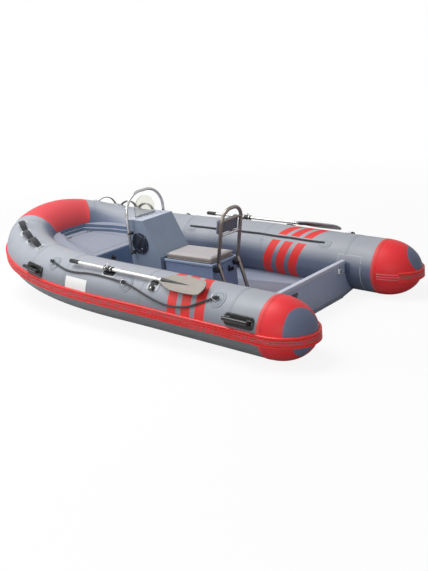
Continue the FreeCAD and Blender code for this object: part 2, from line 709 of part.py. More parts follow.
deck_solid = off_tubes(deck_plate(deck_reach, 0.0, size.deck_thickness))
hatch_cut = deck_plate(grown(hatch_corners, size.lid_gap), size.overrun, size.overrun * 2)
rim = deck_plate(grown(hatch_corners, size.rim_width), -size.deck_thickness, size.deck_thickness / 2)
rim = rim.cut(deck_plate(grown(hatch_corners, -size.rim_width), size.overrun, size.overrun * 3))
deck_solid = deck_solid.cut(hatch_cut).fuse(rim).removeSplitter()
feature("bow_deck", deck_solid)
lid_solid = deck_plate(hatch_corners, 0.0, size.deck_thickness - size.rest_gap)
lid_skirt = deck_plate(grown(hatch_corners, -size.rim_width - size.lid_gap), -size.deck_thickness + size.rest_gap,
                       size.rim_width)
lid_skirt = lid_skirt.cut(deck_plate(grown(hatch_corners, -size.rim_width * 1.5), 0.0, size.overrun * 3))
feature("bow_hatch_lid", lid_solid.fuse(lid_skirt).removeSplitter())


def hinge_barrels(middle, lid):
    """Two barrels across the boat round a hinge's axis, cut back from the lid that carries them."""
    start = middle + PORT * (size.hinge_half - size.hinge_length / 2)
    return both_sides([Part.makeCylinder(size.hinge_radius, size.hinge_length, start, PORT).cut(lid)])


bow_hinge_middle = deck_point(size.bow_lid_aft_place, 0)
feature("bow_lid_hinges", hinge_barrels(bow_hinge_middle, lid_solid.fuse(lid_skirt)))
well = [(size.deck_aft_place - size.overrun, size.deck_half_aft), (size.deck_mid_place, size.deck_half_mid),
        (size.deck_front_place, size.deck_half_front)]
wide_well = [(place + (size.ledge_step / 2 if place == size.deck_front_place else 0), half + size.ledge_step)
             for place, half in well]
ledge = deck_plate(deck_reach, size.ledge_low, size.ledge_low - size.fit_gap)
ledge = ledge.cut(deck_plate(well, size.ledge_high, size.ledge_high + size.overrun))
upper = deck_plate(deck_reach, size.ledge_high, size.ledge_high - size.ledge_low)
upper = upper.cut(deck_plate(wide_well, size.ledge_high + size.overrun, size.ledge_high + size.overrun))
feature("bow_ledge", off_tubes(ledge.fuse(upper).removeSplitter()))
step_top = deck_point(size.deck_aft_place, 0).z - size.deck_thickness - size.fit_gap
step_half = size.tube_spacing_half * 0.86
step_block = Part.makeBox(size.step_thickness, step_half * 2, step_top - floor_top + size.overrun,
                          Vector(size.deck_aft_place - size.step_thickness, -step_half, floor_top - size.overrun))
step_solid = off_tubes(step_block).cut(hull)
feature("bow_step", max(step_solid.Solids, key=lambda solid: solid.Volume))


# Panels and boxes, each a body with its own sketch bound to the sheet.
def origin_plane(body, role):
    return [plane for plane in body.Origin.OriginFeatures if plane.Role == role][0]


def new_sketch(body, name, role, shift=None):
    """A sketch on one of the body's origin planes, moved along its normal by a length."""
    sketch = body.newObject("Sketcher::SketchObject", name)
    sketch.AttachmentSupport = (origin_plane(body, role), [""])
    sketch.MapMode = "FlatFace"
    if shift is not None:
        sketch.AttachmentOffset = Placement(Vector(0, 0, shift), Rotation())
        sketch.setExpression(".AttachmentOffset.Base.z", shift.text)
    return sketch


def draw_outline(sketch, corners):
    """A closed outline, each corner held by two distances from the sketch's origin."""
    count = len(corners)
    points = [Vector(across, up, 0) for across, up in corners]
    for index in range(count):
        sketch.addGeometry(Part.LineSegment(points[index], points[(index + 1) % count]), False)
    for index in range(count):
        sketch.addConstraint(Sketcher.Constraint("Coincident", index, 2, (index + 1) % count, 1))
    for index, (across, up) in enumerate(corners):
        for kind, length in (("DistanceX", across), ("DistanceY", up)):
            number = sketch.addConstraint(Sketcher.Constraint(kind, -1, 1, index, 1, float(length)))
            if hasattr(length, "text"):
                sketch.setExpression("Constraints[%d]" % number, length.text)


def padded(label, role, corners, length, shift=None, symmetric=False):
    """A body that is one outline pulled to a length."""
    body = doc.addObject("PartDesign::Body", label + "_body")
    sketch = new_sketch(body, label + "_outline", role, shift)
    draw_outline(sketch, corners)
    pad = body.newObject("PartDesign::Pad", label + "_pad")
    pad.Profile = sketch
    pad.Midplane = symmetric
    pad.setExpression("Length", length.text)
    doc.recompute()
    return keep(body, label)


def pocketed(body, name, role, corners, length, shift=None, symmetric=False, towards=False):
    """Cut an outline out of a body."""
    before = body.Shape.Volume
    sketch = new_sketch(body, name + "_outline", role, shift)
    draw_outline(sketch, corners)
    return cut_sketch(body, name, sketch, length, symmetric, towards, before)


def cut_sketch(body, name, sketch, length, symmetric, towards, before):
    pocket = body.newObject("PartDesign::Pocket", name)
    pocket.Profile = sketch
    pocket.Midplane = symmetric
    pocket.Reversed = towards
    pocket.setExpression("Length", length.text)
    doc.recompute()
    if not body.Shape.Volume < before:
        raise RuntimeError(name + " cuts nothing")
    return pocket


def bored(body, name, role, across, up, radius, length, shift=None, towards=False):
    """Cut a round hole into a body."""
    before = body.Shape.Volume
    sketch = new_sketch(body, name + "_circle", role, shift)
    sketch.addGeometry(Part.Circle(Vector(across, up, 0), Vector(0, 0, 1), radius), False)
    for kind, length_held in (("DistanceX", across), ("DistanceY", up)):
        number = sketch.addConstraint(Sketcher.Constraint(kind, -1, 1, 0, 3, float(length_held)))
        sketch.setExpression("Constraints[%d]" % number, length_held.text)
    number = sketch.addConstraint(Sketcher.Constraint("Radius", 0, float(radius)))
    sketch.setExpression("Constraints[%d]" % number, radius.text)
    return cut_sketch(body, name, sketch, length, False, towards, before)


def filleted(body, name, radius, chosen):
    """Round the edges of a body that a test chooses."""
    base = body.Tip
    names = ["Edge%d" % (index + 1) for index, edge in enumerate(base.Shape.Edges) if chosen(edge)]
    fillet = body.newObject("PartDesign::Fillet", name)
    fillet.Base = (base, names)
    fillet.setExpression("Radius", radius.text)
    doc.recompute()
    return fillet


# Console: a hollow shell, open below, with a round port through its port side.
console_foot = size.floor_height + size.floor_thickness + size.rest_gap
console_outline = [
    (size.console_front_place, console_foot),
    (size.console_front_place, size.console_top_height),
    (size.console_top_aft_place, size.console_top_height),
    (size.console_aft_place, size.console_knee_height),
    (size.console_aft_place, console_foot),
]
console = padded("console_body", "XZ_Plane", console_outline, size.console_half * 2, symmetric=True)
inner_outline = [
    (size.console_front_place - size.console_wall, console_foot - size.overrun),
    (size.console_front_place - size.console_wall, size.console_top_height - size.console_wall),
    (size.console_top_aft_place + size.console_wall / 2, size.console_top_height - size.console_wall),
    (size.console_aft_place + size.console_wall, size.console_knee_height - size.console_wall / 4),
    (size.console_aft_place + size.console_wall, console_foot - size.overrun),
]
pocketed(console, "console_inside", "XZ_Plane", inner_outline,
         (size.console_half - size.console_wall) * 2, symmetric=True)
bored(console, "console_port_hole", "XZ_Plane", size.port_place, size.port_height, size.port_hole_radius,
      size.console_half + size.overrun)

# Round port: a ring on the console's side and a screw lid in it.
ring_outer = doc.addObject("Part::Cylinder", "port_ring_outer")
ring_hole = doc.addObject("Part::Cylinder", "port_ring_hole")
port_lid = doc.addObject("Part::Cylinder", "port_lid_disc")
for disc_thing, radius, start, height in (
        (ring_outer, size.port_ring_radius, size.console_half + size.rest_gap, size.port_ring_height),
        (ring_hole, size.port_hole_radius, size.console_half, size.port_ring_height + size.overrun),
        (port_lid, size.port_hole_radius - size.rest_gap * 2, size.console_half - size.port_lid_depth,
         size.port_lid_depth + size.port_lid_height)):
    disc_thing.setExpression("Radius", radius.text)
    disc_thing.setExpression("Height", height.text)
    disc_thing.Placement = Placement(Vector(size.port_place, start, size.port_height), Rotation(FORWARD, -90))
    disc_thing.setExpression(".Placement.Base.x", size.port_place.text)
    disc_thing.setExpression(".Placement.Base.y", start.text)
    disc_thing.setExpression(".Placement.Base.z", size.port_height.text)
ring = doc.addObject("Part::Cut", "port_ring_cut")
ring.Base = ring_outer
ring.Tool = ring_hole
keep(ring, "port_ring")
keep(port_lid, "port_lid")


def bent_pipe(points, bends, radius):
    """A round pipe through points in one plane, with an arc of a given radius at each inner point."""
    edges = []
    here = points[0]
    for before, corner, after, bend in zip(points, points[1:], points[2:], bends):
        back = (before - corner).normalize()
        onward = (after - corner).normalize()
        half_angle = back.getAngle(onward) / 2
        reach = bend / math.tan(half_angle)
        start = corner + back * reach
        end = corner + onward * reach
        middle_line = (back + onward).normalize()
        middle = corner + middle_line * (bend / math.sin(half_angle) - bend)
        edges.append(Part.LineSegment(here, start).toShape())
        edges.append(Part.Arc(start, middle, end).toShape())
        here = end
    edges.append(Part.LineSegment(here, points[-1]).toShape())
    outline = Part.Wire([Part.makeCircle(radius, points[0], points[1] - points[0])])
    return Part.Wire(edges).makePipeShell([outline], True, True)


def box_between(low, high):
    span = high - low
    return Part.makeBox(span.x, span.y, span.z, low)


def centred_box(middle, span):
    return box_between(middle - span * 0.5, middle + span * 0.5)


# Hoop round the console's top, its clamps, and the windscreen inside it.
hoop_points = [
    Vector(size.hoop_place, size.hoop_half, size.hoop_foot_height),
    Vector(size.hoop_place, size.hoop_half, size.hoop_top_height),
    Vector(size.hoop_place, -size.hoop_half, size.hoop_top_height),
    Vector(size.hoop_place, -size.hoop_half, size.hoop_foot_height),
]
feature("console_hoop", bent_pipe(hoop_points, [size.hoop_bend, size.hoop_bend], size.hoop_radius))
clamps = []
for height in (size.clamp_low_height, size.clamp_high_height):
    clamp = box_between(
        Vector(size.hoop_place - size.clamp_length / 2, size.console_half + size.rest_gap, height - size.clamp_height / 2),
        Vector(size.hoop_place + size.clamp_length / 2, size.hoop_half + size.hoop_radius / 2,
               height + size.clamp_height / 2))
    bore = Part.makeCylinder(size.hoop_radius + size.rest_gap, size.clamp_height * 2,
                             Vector(size.hoop_place, size.hoop_half, height - size.clamp_height))
    clamps.append(clamp.cut(bore))
feature("hoop_clamps", both_sides(clamps))
screen_foot = size.console_top_height + size.rest_gap
screen_low = screen_foot + size.screen_foot_height / 2
screen_shoulder = size.console_top_height + size.screen_height - size.screen_half
screen_outline = Part.Wire([
    Part.LineSegment(Vector(size.screen_place, size.screen_half, screen_low),
                     Vector(size.screen_place, size.screen_half, screen_shoulder)).toShape(),
    Part.Arc(Vector(size.screen_place, size.screen_half, screen_shoulder),
             Vector(size.screen_place, 0, screen_shoulder + size.screen_half),
             Vector(size.screen_place, -size.screen_half, screen_shoulder)).toShape(),
    Part.LineSegment(Vector(size.screen_place, -size.screen_half, screen_shoulder),
                     Vector(size.screen_place, -size.screen_half, screen_low)).toShape(),
    Part.LineSegment(Vector(size.screen_place, -size.screen_half, screen_low),
                     Vector(size.screen_place, size.screen_half, screen_low)).toShape(),
])
feature("windscreen", Part.Face(screen_outline).extrude(-FORWARD * size.screen_thickness))
foot_strip = box_between(
    Vector(size.screen_place - size.screen_thickness * 2, -size.screen_half, screen_foot),
    Vector(size.screen_place + size.screen_thickness, size.screen_half, screen_foot + size.screen_foot_height))
foot_slot = box_between(
    Vector(size.screen_place - size.screen_thickness - size.rest_gap, -size.screen_half, screen_low - size.rest_gap),
    Vector(size.screen_place + size.rest_gap, size.screen_half, screen_foot + size.screen_foot_height))
feature("windscreen_foot", foot_strip.cut(foot_slot))

# Seat: a hollow box on the floor, its lid, and the cushion on the lid.
seat = padded("seat_box", "XZ_Plane", [
    (size.seat_front_place, console_foot),
    (size.seat_front_place, size.seat_box_top),
    (size.seat_aft_place, size.seat_box_top),
    (size.seat_aft_place, console_foot),
], size.seat_half * 2, symmetric=True)
pocketed(seat, "seat_locker", "XZ_Plane", [
    (size.seat_front_place - size.seat_wall, console_foot + size.seat_wall),
    (size.seat_front_place - size.seat_wall, size.seat_box_top + size.overrun),
    (size.seat_aft_place + size.seat_wall, size.seat_box_top + size.overrun),
    (size.seat_aft_place + size.seat_wall, console_foot + size.seat_wall),
], (size.seat_half - size.seat_wall) * 2, symmetric=True)
lid_foot = size.seat_box_top + size.rest_gap
seat_lid = padded("seat_lid", "XZ_Plane", [
    (size.seat_lid_front_place, lid_foot),
    (size.seat_lid_front_place, lid_foot + size.seat_lid_thickness),
    (size.seat_lid_aft_place, lid_foot + size.seat_lid_thickness),
    (size.seat_lid_aft_place, lid_foot),
], size.seat_lid_half * 2, symmetric=True)
seat_hinge_middle = Vector(size.seat_lid_front_place, 0, lid_foot + size.seat_lid_thickness)
feature("seat_lid_hinges", hinge_barrels(seat_hinge_middle, seat_lid.Shape))
cushion_foot = lid_foot + size.seat_lid_thickness + size.rest_gap
cushion = padded("seat_cushion", "XZ_Plane", [
    (size.cushion_front_place, cushion_foot),
    (size.cushion_front_place, cushion_foot + size.cushion_thickness),
    (size.cushion_aft_place, cushion_foot + size.cushion_thickness),
    (size.cushion_aft_place, cushion_foot),
], size.cushion_half * 2, symmetric=True)
filleted(cushion, "cushion_edges", size.cushion_round,
         lambda edge: edge.BoundBox.ZMin > cushion_foot + size.rest_gap
         or abs(edge.tangentAt(edge.FirstParameter).z) > 0.9)
seat_latch = doc.addObject("Part::Box", "seat_latch_block")
seat_latch.setExpression("Length", size.latch_depth.text)
seat_latch.setExpression("Width", size.latch_width.text)
seat_latch.setExpression("Height", size.latch_height.text)
seat_latch.setExpression(".Placement.Base.x", (size.seat_aft_place - size.latch_depth - size.rest_gap).text)
seat_latch.setExpression(".Placement.Base.y", (size.latch_half - size.latch_width / 2).text)
seat_latch.setExpression(".Placement.Base.z", (size.latch_place_height - size.latch_height / 2).text)
keep(seat_latch, "seat_latch")

# Step knob and the latches of the bow lid.
knob = doc.addObject("Part::Cylinder", "step_knob_disc")
knob.setExpression("Radius", size.knob_radius.text)
knob.setExpression("Height", size.knob_length.text)
knob.Placement = Placement(Vector(0, 0, 0), Rotation(PORT, -90))
knob_face = size.deck_aft_place - size.step_thickness - size.rest_gap
knob.setExpression(".Placement.Base.x", knob_face.text)
knob.setExpression(".Placement.Base.y", size.knob_half.text)
knob.setExpression(".Placement.Base.z", size.knob_height.text)
keep(knob, "step_knob")
latch_place = size.bow_lid_front_place - size.bow_latch_width / 2
latch_base = deck_point(latch_place, size.bow_latch_half, size.rest_gap)
bow_latch = rounded_block(size.bow_latch_width, size.bow_latch_length, size.bow_latch_height, size.bow_latch_width / 3)
feature("bow_hatch_latches", both_sides([turned(bow_latch, latch_base, deck_along, deck_normal)]))


# Backrest: a narrow bent frame with two crossbars, its pad, its feet and its clamps to the seat box.
def back_place_at(height):
    """Where the frame's leg stands along the boat at a height."""
    if height < size.back_knee_height:
        share = (height - floor_top) / (size.back_knee_height - floor_top)
        return size.back_foot_place + (size.back_knee_place - size.back_foot_place) * share
    share = (height - size.back_knee_height) / (size.back_top_height - size.back_knee_height)
    return size.back_knee_place + (size.back_top_place - size.back_knee_place) * share


def back_point(height, half):
    return Vector(back_place_at(height), half, height)


foot_height = floor_top + size.rest_gap + size.foot_thickness
upper_edges = bent_pipe([
    back_point(size.back_knee_height, size.back_half),
    back_point(size.back_top_height, size.back_half),
    back_point(size.back_top_height, -size.back_half),
    back_point(size.back_knee_height, -size.back_half),
], [size.back_bend, size.back_bend], size.back_radius)
frame_solid = upper_edges
for half in (size.back_half, -size.back_half):
    leg_start = back_point(size.back_knee_height, half)
    leg_end = back_point(foot_height, half)
    leg = Part.makeCylinder(size.back_radius, leg_start.distanceToPoint(leg_end), leg_end, leg_start - leg_end)
    frame_solid = frame_solid.fuse(leg).fuse(Part.makeSphere(size.back_radius, leg_start))
for height in (size.bar_low_height, size.bar_high_height):
    bar_start = back_point(height, -size.back_half)
    bar = Part.makeCylinder(size.bar_radius, size.back_half * 2, bar_start, PORT)
    frame_solid = frame_solid.fuse(bar)
level_cut = box_between(Vector(size.back_foot_place - size.foot_length * 2, -size.back_half * 2, -size.overrun),
                        Vector(size.back_knee_place, size.back_half * 2, foot_height))
feature("backrest_frame", frame_solid.cut(level_cut).removeSplitter())
foot_span = Vector(size.foot_length, size.foot_width, size.foot_thickness)
foot_middle = Vector(back_place_at(foot_height), size.back_half, floor_top + size.rest_gap + size.foot_thickness / 2)
feature("backrest_feet", both_sides([centred_box(foot_middle, foot_span)]))
knee = back_point(size.back_knee_height - size.knee_clamp_drop, size.back_half)
knee_block = box_between(
    Vector(knee.x - size.back_radius / 2, size.back_half - size.knee_clamp_width / 2, knee.z - size.knee_clamp_length / 2),
    Vector(size.seat_aft_place - size.rest_gap, size.back_half + size.knee_clamp_width / 2,
           knee.z + size.knee_clamp_length / 2))
knee_bore = Part.makeCylinder(size.back_radius + size.rest_gap, size.knee_clamp_length * 4,
                              back_point(knee.z - size.knee_clamp_length * 2, size.back_half),
                              back_point(knee.z, 0) - back_point(knee.z - size.knee_clamp_length, 0))
feature("backrest_clamps", both_sides([knee_block.cut(knee_bore)]))
pad_middle_height = (size.bar_low_height + size.bar_high_height) / 2
lean = math.atan2(size.back_knee_place - size.back_top_place, size.back_top_height - size.back_knee_height)
back_face = Vector(math.cos(lean), 0, math.sin(lean))
pad_block = Part.makeBox(size.pad_thickness, size.pad_half * 2, size.pad_height,
                         Vector(0, -size.pad_half, -size.pad_height / 2))
pad_block = pad_block.makeFillet(size.pad_round, pad_block.Edges)
pad_block.Placement = Placement(
    back_point(pad_middle_height, 0) + back_face * (size.back_radius + size.rest_gap),
    Rotation(PORT, -math.degrees(lean)))
feature("backrest_pad", pad_block)


# Oars: each lies over its tube, held by a leaning pin through its collar and a cradle below its shaft.
BLADE_SHARES = [(1.0, 0.24), (0.94, 0.36), (0.8, 0.72), (0.62, 0.95), (0.4, 1.0), (0.16, 0.95), (0.03, 0.74), (0.0, 0.4)]
grip_end = on_tube(run_at_place(size.oar_grip_place), size.oar_angle, size.oar_offset)[0]
blade_tip = on_tube(run_at_place(size.oar_tip_place), size.oar_angle, size.oar_offset)[0]
oar_length = grip_end.distanceToPoint(blade_tip)
oar_along = (grip_end - blade_tip).normalize()
pin_share = (size.oar_pin_place - blade_tip.x) / (grip_end.x - blade_tip.x)
pin_point = blade_tip + (grip_end - blade_tip) * pin_share
lean_turn = math.radians(size.pin_lean)
pin_up = Vector(0, math.cos(lean_turn), math.sin(lean_turn))
pin_axis = (pin_up - oar_along * pin_up.dot(oar_along)).normalize()
print("oar pin", pin_point, "axis", pin_axis, "length", oar_length)


def rod_along(start, end, radius):
    """A round rod on the oar's axis between two distances from the blade's tip."""
    return Part.makeCylinder(radius, end - start, blade_tip + oar_along * start, oar_along)


def oar_blade():
    tube_middle = axis_at(run_at_place(size.oar_tip_place + size.blade_length / 2))[0]
    blade_middle = blade_tip + oar_along * (size.blade_length / 2)
    away = blade_middle - tube_middle
    blade_normal = (away - oar_along * away.dot(oar_along)).normalize()
    half = [Vector(size.blade_length * share, size.blade_half * wide, 0) for share, wide in BLADE_SHARES]
    other = [Vector(point.x, -point.y, 0) for point in reversed(half)]
    edge = Part.BSplineCurve()
    edge.interpolate(Points=half + other)
    root = Part.LineSegment(other[-1], half[0]).toShape()
    face = Part.Face(Part.Wire([edge.toShape(), root]))
    face.translate(UP * (-size.blade_thickness / 2))
    return turned(face.extrude(UP * size.blade_thickness), blade_tip, oar_along, blade_normal)


pin_bore = Part.makeCylinder(size.pin_radius + size.pin_gap, size.collar_radius * 4,
                             pin_point - pin_axis * (size.collar_radius * 2), pin_axis)
blade = oar_blade()
shaft = rod_along(size.blade_length + size.rest_gap, oar_length - size.grip_length - size.rest_gap, size.shaft_radius)
shaft = shaft.cut(pin_bore)
pin_run = oar_length * pin_share
grip = rod_along(oar_length - size.grip_length, oar_length, size.grip_radius)
grip = grip.makeFillet(size.grip_radius / 3, grip.Edges)
collar = rod_along(pin_run - size.collar_length / 2, pin_run + size.collar_length / 2, size.collar_radius)
collar = collar.cut(rod_along(0.0, oar_length, size.shaft_radius + size.rest_gap)).cut(pin_bore)
neck_start = size.blade_length - size.neck_length
neck_middle = size.blade_length + size.grip_radius
neck = Part.makeCone(size.shaft_radius / 2, size.grip_radius, neck_middle - neck_start,
                     blade_tip + oar_along * neck_start, oar_along)
neck = neck.fuse(rod_along(neck_middle, neck_middle + size.grip_radius, size.grip_radius))
neck = neck.cut(rod_along(size.blade_length, oar_length, size.shaft_radius + size.rest_gap)).cut(blade)
fittings = Part.makeCompound([grip, collar] + neck.Solids)
for label, shape in (("shaft", shaft), ("blade", blade), ("fittings", fittings)):
    feature("oar_port_" + label, shape)
    feature("oar_starboard_" + label, mirrored(shape))

# Oarlocks: a block glued to the tube, a pin out of it and a nut above the collar.
lock_depth = size.collar_radius + size.lock_gap
lock_block = rounded_block(size.lock_block_length, size.lock_block_width, size.lock_block_width, size.rest_gap * 40)
lock_block.translate(UP * (-size.lock_block_width - lock_depth))
lock_block = turned(lock_block, pin_point, oar_along, pin_axis).cut(port_clear)
pin_sunk = lock_depth + size.pin_depth
lock_bore = Part.makeCylinder(size.pin_radius + size.fit_gap, size.overrun * 2,
                              pin_point - pin_axis * (pin_sunk + size.fit_gap), pin_axis)
lock_block = max(lock_block.cut(lock_bore).Solids, key=lambda solid: solid.Volume)
feature("oarlock_blocks", both_sides([lock_block]))
nut_base = size.collar_radius + size.lock_gap
pin = Part.makeCylinder(size.pin_radius, pin_sunk + nut_base + size.nut_height / 2,
                        pin_point - pin_axis * pin_sunk, pin_axis)
nut = Part.makeCylinder(size.nut_radius, size.nut_height, pin_point + pin_axis * nut_base, pin_axis)
feature("oarlock_pins", both_sides([pin.fuse(nut).removeSplitter()]))
clip_run = run_at_place(size.clip_place)
clip_point, clip_along, clip_normal, _ = on_tube(clip_run, size.oar_angle, size.tube_radius)
clip = rounded_block(size.clip_length, size.clip_width, size.clip_width, size.clip_height / 2)
clip.translate(UP * (size.clip_height - size.clip_width))
clip = turned(clip, clip_point, clip_along, clip_normal).cut(port_clear)
clip = clip.cut(rod_along(0.0, oar_length, size.clip_groove_radius))
feature("oar_cradles", both_sides([max(clip.Solids, key=lambda solid: solid.Volume)]))


# D-rings with their round patches, which hold the life line.
RING_PLACES = [(404.0, 51.0), (1280.0, 41.5), (2202.0, 49.0)]
rings = []
patches = []
ring_turn = math.radians(size.ring_tilt)
bar_height = size.fit_gap + size.patch_thickness + size.rest_gap + size.ring_wire


def ring_solid():
    """A D-ring on the XY plane: a half circle closed by a bar."""
    big = size.ring_radius
    small = size.ring_corner
    bar = -size.ring_bar_reach
    near = math.sqrt(0.5) * small
    side_end = Vector(bar + small, big, 0)
    bar_start = Vector(bar, big - small, 0)
    half_way = Vector(bar + small - near, big - small + near, 0)
    upper = [
        Part.LineSegment(Vector(0, big, 0), side_end).toShape(),
        Part.Arc(side_end, half_way, bar_start).toShape(),
        Part.LineSegment(bar_start, Vector(bar, -big + small, 0)).toShape(),
        Part.Arc(Vector(bar, -big + small, 0), Vector(half_way.x, -half_way.y, 0), Vector(side_end.x, -big, 0)).toShape(),
        Part.LineSegment(Vector(side_end.x, -big, 0), Vector(0, -big, 0)).toShape(),
        Part.Arc(Vector(0, -big, 0), Vector(big, 0, 0), Vector(0, big, 0)).toShape(),
    ]
    start = Part.Wire([Part.makeCircle(size.ring_wire, Vector(bar, 0, 0), PORT)])
    order = upper[2:] + upper[:2]
    first_half = Part.LineSegment(Vector(bar, 0, 0), Vector(bar, -big + small, 0)).toShape()
    last_half = Part.LineSegment(bar_start, Vector(bar, 0, 0)).toShape()
    path = Part.Wire([first_half] + order[1:] + [last_half])
    return path.makePipeShell([start], True, True)


ring_shape = ring_solid()
for run, degrees in RING_PLACES:
    point, along, normal, across = on_tube(run, degrees, size.tube_radius)
    tilted = (along * math.cos(ring_turn) + normal * math.sin(ring_turn)).normalize()
    upright = (normal * math.cos(ring_turn) - along * math.sin(ring_turn)).normalize()
    bar_point = point + normal * bar_height
    ring_middle = bar_point + tilted * size.ring_bar_reach
    rings.append(turned(ring_shape, ring_middle, tilted, upright))
    tab = rounded_block(size.tab_length, size.tab_width, size.overrun + bar_height + size.ring_wire * 1.25,
                        size.ring_wire * 2)
    tab.translate(UP * -size.overrun)
    tab = turned(tab, point, along, normal).cut(port_clear)
    tab = tab.cut(Part.makeCylinder(size.ring_wire + size.rest_gap, size.tab_width * 2,
                                    bar_point - across * size.tab_width, across))
    tab = tab.cut(rings[-1])
    tab = max(tab.Solids, key=lambda solid: solid.Volume)
    patches.append(patch(run, degrees, disc(size.ring_patch_radius)).fuse(tab).removeSplitter())
feature("d_rings", both_sides(rings))

# Webbing straps over the bow curve, each on two small patches.
STRAP_PLACES = [(3080.0, 79.0), (2850.0, 75.0), (2665.0, 71.0)]
strap_half = size.strap_length / 2
strap_arc_radius = (strap_half * strap_half + size.strap_rise * size.strap_rise) / (size.strap_rise * 2)
base_block = patch_block(size.base_length, size.base_width, size.strap_thickness * 3)
straps = []
for run, degrees in STRAP_PLACES:
    aft_end = on_tube(run - strap_half, degrees, size.tube_radius)[0]
    front_end = on_tube(run + strap_half, degrees, size.tube_radius)[0]
    along = (front_end - aft_end).normalize()
    normal = on_tube(run, degrees, size.tube_radius)[2]
    normal = (normal - along * normal.dot(along)).normalize()
    across = normal.cross(along)
    arc_middle = (aft_end + front_end) * 0.5 - normal * (strap_arc_radius - size.strap_rise)
    arc_start = arc_middle - across * (size.strap_width / 2)
    strap = Part.makeCylinder(strap_arc_radius, size.strap_width, arc_start, across)
    strap = strap.cut(Part.makeCylinder(strap_arc_radius - size.strap_thickness, size.strap_width, arc_start, across))
    ends = [patch(run + reach, degrees, base_block) for reach in (-strap_half, strap_half)]
    strap = strap.cut(port_clear).cut(port_skin)
    straps.append(max(strap.Solids, key=lambda solid: solid.BoundBox.DiagonalLength))
    patches.extend(ends)
feature("grab_straps", both_sides(straps))

# Carry handles: a foot moulded to the tube, two posts and a round grip.
HANDLE_PLACES = [(170.0, 21.0), (2430.0, 20.5)]
foot_block = rounded_block(size.handle_length, size.handle_width, size.overrun + size.handle_foot_height,
                           size.handle_width / 3)
foot_block.translate(UP * -size.overrun)
post_reach = size.handle_length / 2 - size.handle_post
posts = [Part.makeBox(size.handle_post, size.handle_grip_radius * 2, size.handle_height,
                      Vector(start, -size.handle_grip_radius, 0))
         for start in (-post_reach - size.handle_post / 2, post_reach - size.handle_post / 2)]
grip_reach = post_reach + size.handle_post / 2
handle_grip = Part.makeCylinder(size.handle_grip_radius, grip_reach * 2, Vector(-grip_reach, 0, size.handle_height), FORWARD)
handle_solid = foot_block.fuse(posts).fuse(handle_grip).removeSplitter()
handles = []
for run, degrees in HANDLE_PLACES:
    point, along, normal, _ = on_tube(run, degrees, size.tube_radius)
    handles.append(turned(handle_solid, point, along, normal).cut(port_clear))
feature("carry_handles", both_sides(handles))

# Ropes: hand-placed points along the tube, joined by straight runs and wide arcs.
LIFE_LINE_ROUTE = [
    (2226.0, 49.3), (2202.0, 49.0), (2120.0, 45.5), (2019.0, 41.2), (1913.0, 40.3), (1821.0, 42.6), (1716.0, 45.6),
    (1600.0, 46.0), (1495.0, 45.2), (1385.0, 43.2), (1280.0, 41.5), (1167.0, 35.6), (1047.0, 27.6), (938.0, 21.8),
    (838.0, 18.3), (708.0, 20.1), (608.0, 26.2), (545.0, 34.2), (482.0, 43.0), (404.0, 51.0),
    (384.0, 52.4)]
INNER_LINE_DEGREES = [130.0, 131.6, 130.4, 131.8, 130.6, 131.9, 130.5, 131.7, 130.4, 131.0]
BEND_SHARE = 0.45


def cord_bends(points):
    """The widest arc that fits at each inner point: its tangents take a share of the shorter run."""
    bends = []
    for before, corner, after in zip(points, points[1:], points[2:]):
        shorter = min(before.distanceToPoint(corner), corner.distanceToPoint(after))
        half_turn = (corner - before).getAngle(after - corner) / 2
        bends.append(BEND_SHARE * shorter / math.tan(half_turn))
    return bends


def cord(label, points, radius):
    bends = cord_bends(points)
    runs = [a.distanceToPoint(b) for a, b in zip(points, points[1:])]
    print(label, "smallest radius", round(min(bends)), "longest run", round(max(runs)), "length", round(sum(runs)))
    solid = bent_pipe(points, bends, radius)
    feature(label + "_port", solid)
    feature(label + "_starboard", mirrored(solid))


rope_reach = size.tube_radius + size.rope_radius + size.rope_gap
ring_reach = size.tube_radius + bar_height + (size.ring_bar_reach + size.ring_radius) / 2 * math.sin(ring_turn)
ring_reach = ring_reach + size.rest_gap * 4
rope_points = []
for run, degrees in LIFE_LINE_ROUTE:
    held = any(abs(run - place) < size.overrun * 1.5 for place, _ in RING_PLACES)
    rope_points.append(on_tube(run, degrees, ring_reach if held else rope_reach)[0])
cord("life_line", rope_points, size.rope_radius)
line_start = run_at_place(size.inner_line_aft_place)
line_end = run_at_place(size.inner_line_front_place)
line_steps = len(INNER_LINE_DEGREES) - 1
inner_reach = size.tube_radius + size.inner_line_radius + size.fit_gap
inner_points = [on_tube(line_start + (line_end - line_start) * step / line_steps, degrees, inner_reach)[0]
                for step, degrees in enumerate(INNER_LINE_DEGREES)]
cord("inner_line", inner_points, size.inner_line_radius)
for run, degrees in ((line_start - size.base_length / 2 - size.inner_line_radius / 2, INNER_LINE_DEGREES[0]),
                     (line_end + size.base_length / 2 + size.inner_line_radius / 2, INNER_LINE_DEGREES[-1])):
    patches.append(patch(run, degrees, base_block))
feature("glued_patches", both_sides(patches))
PLATE_PLACE = (1840.0, 19.0)
plate_block = patch_block(size.plate_length, size.plate_width, size.strap_thickness)
feature("blank_plates", both_sides([patch(*PLATE_PLACE, plate_block)]))

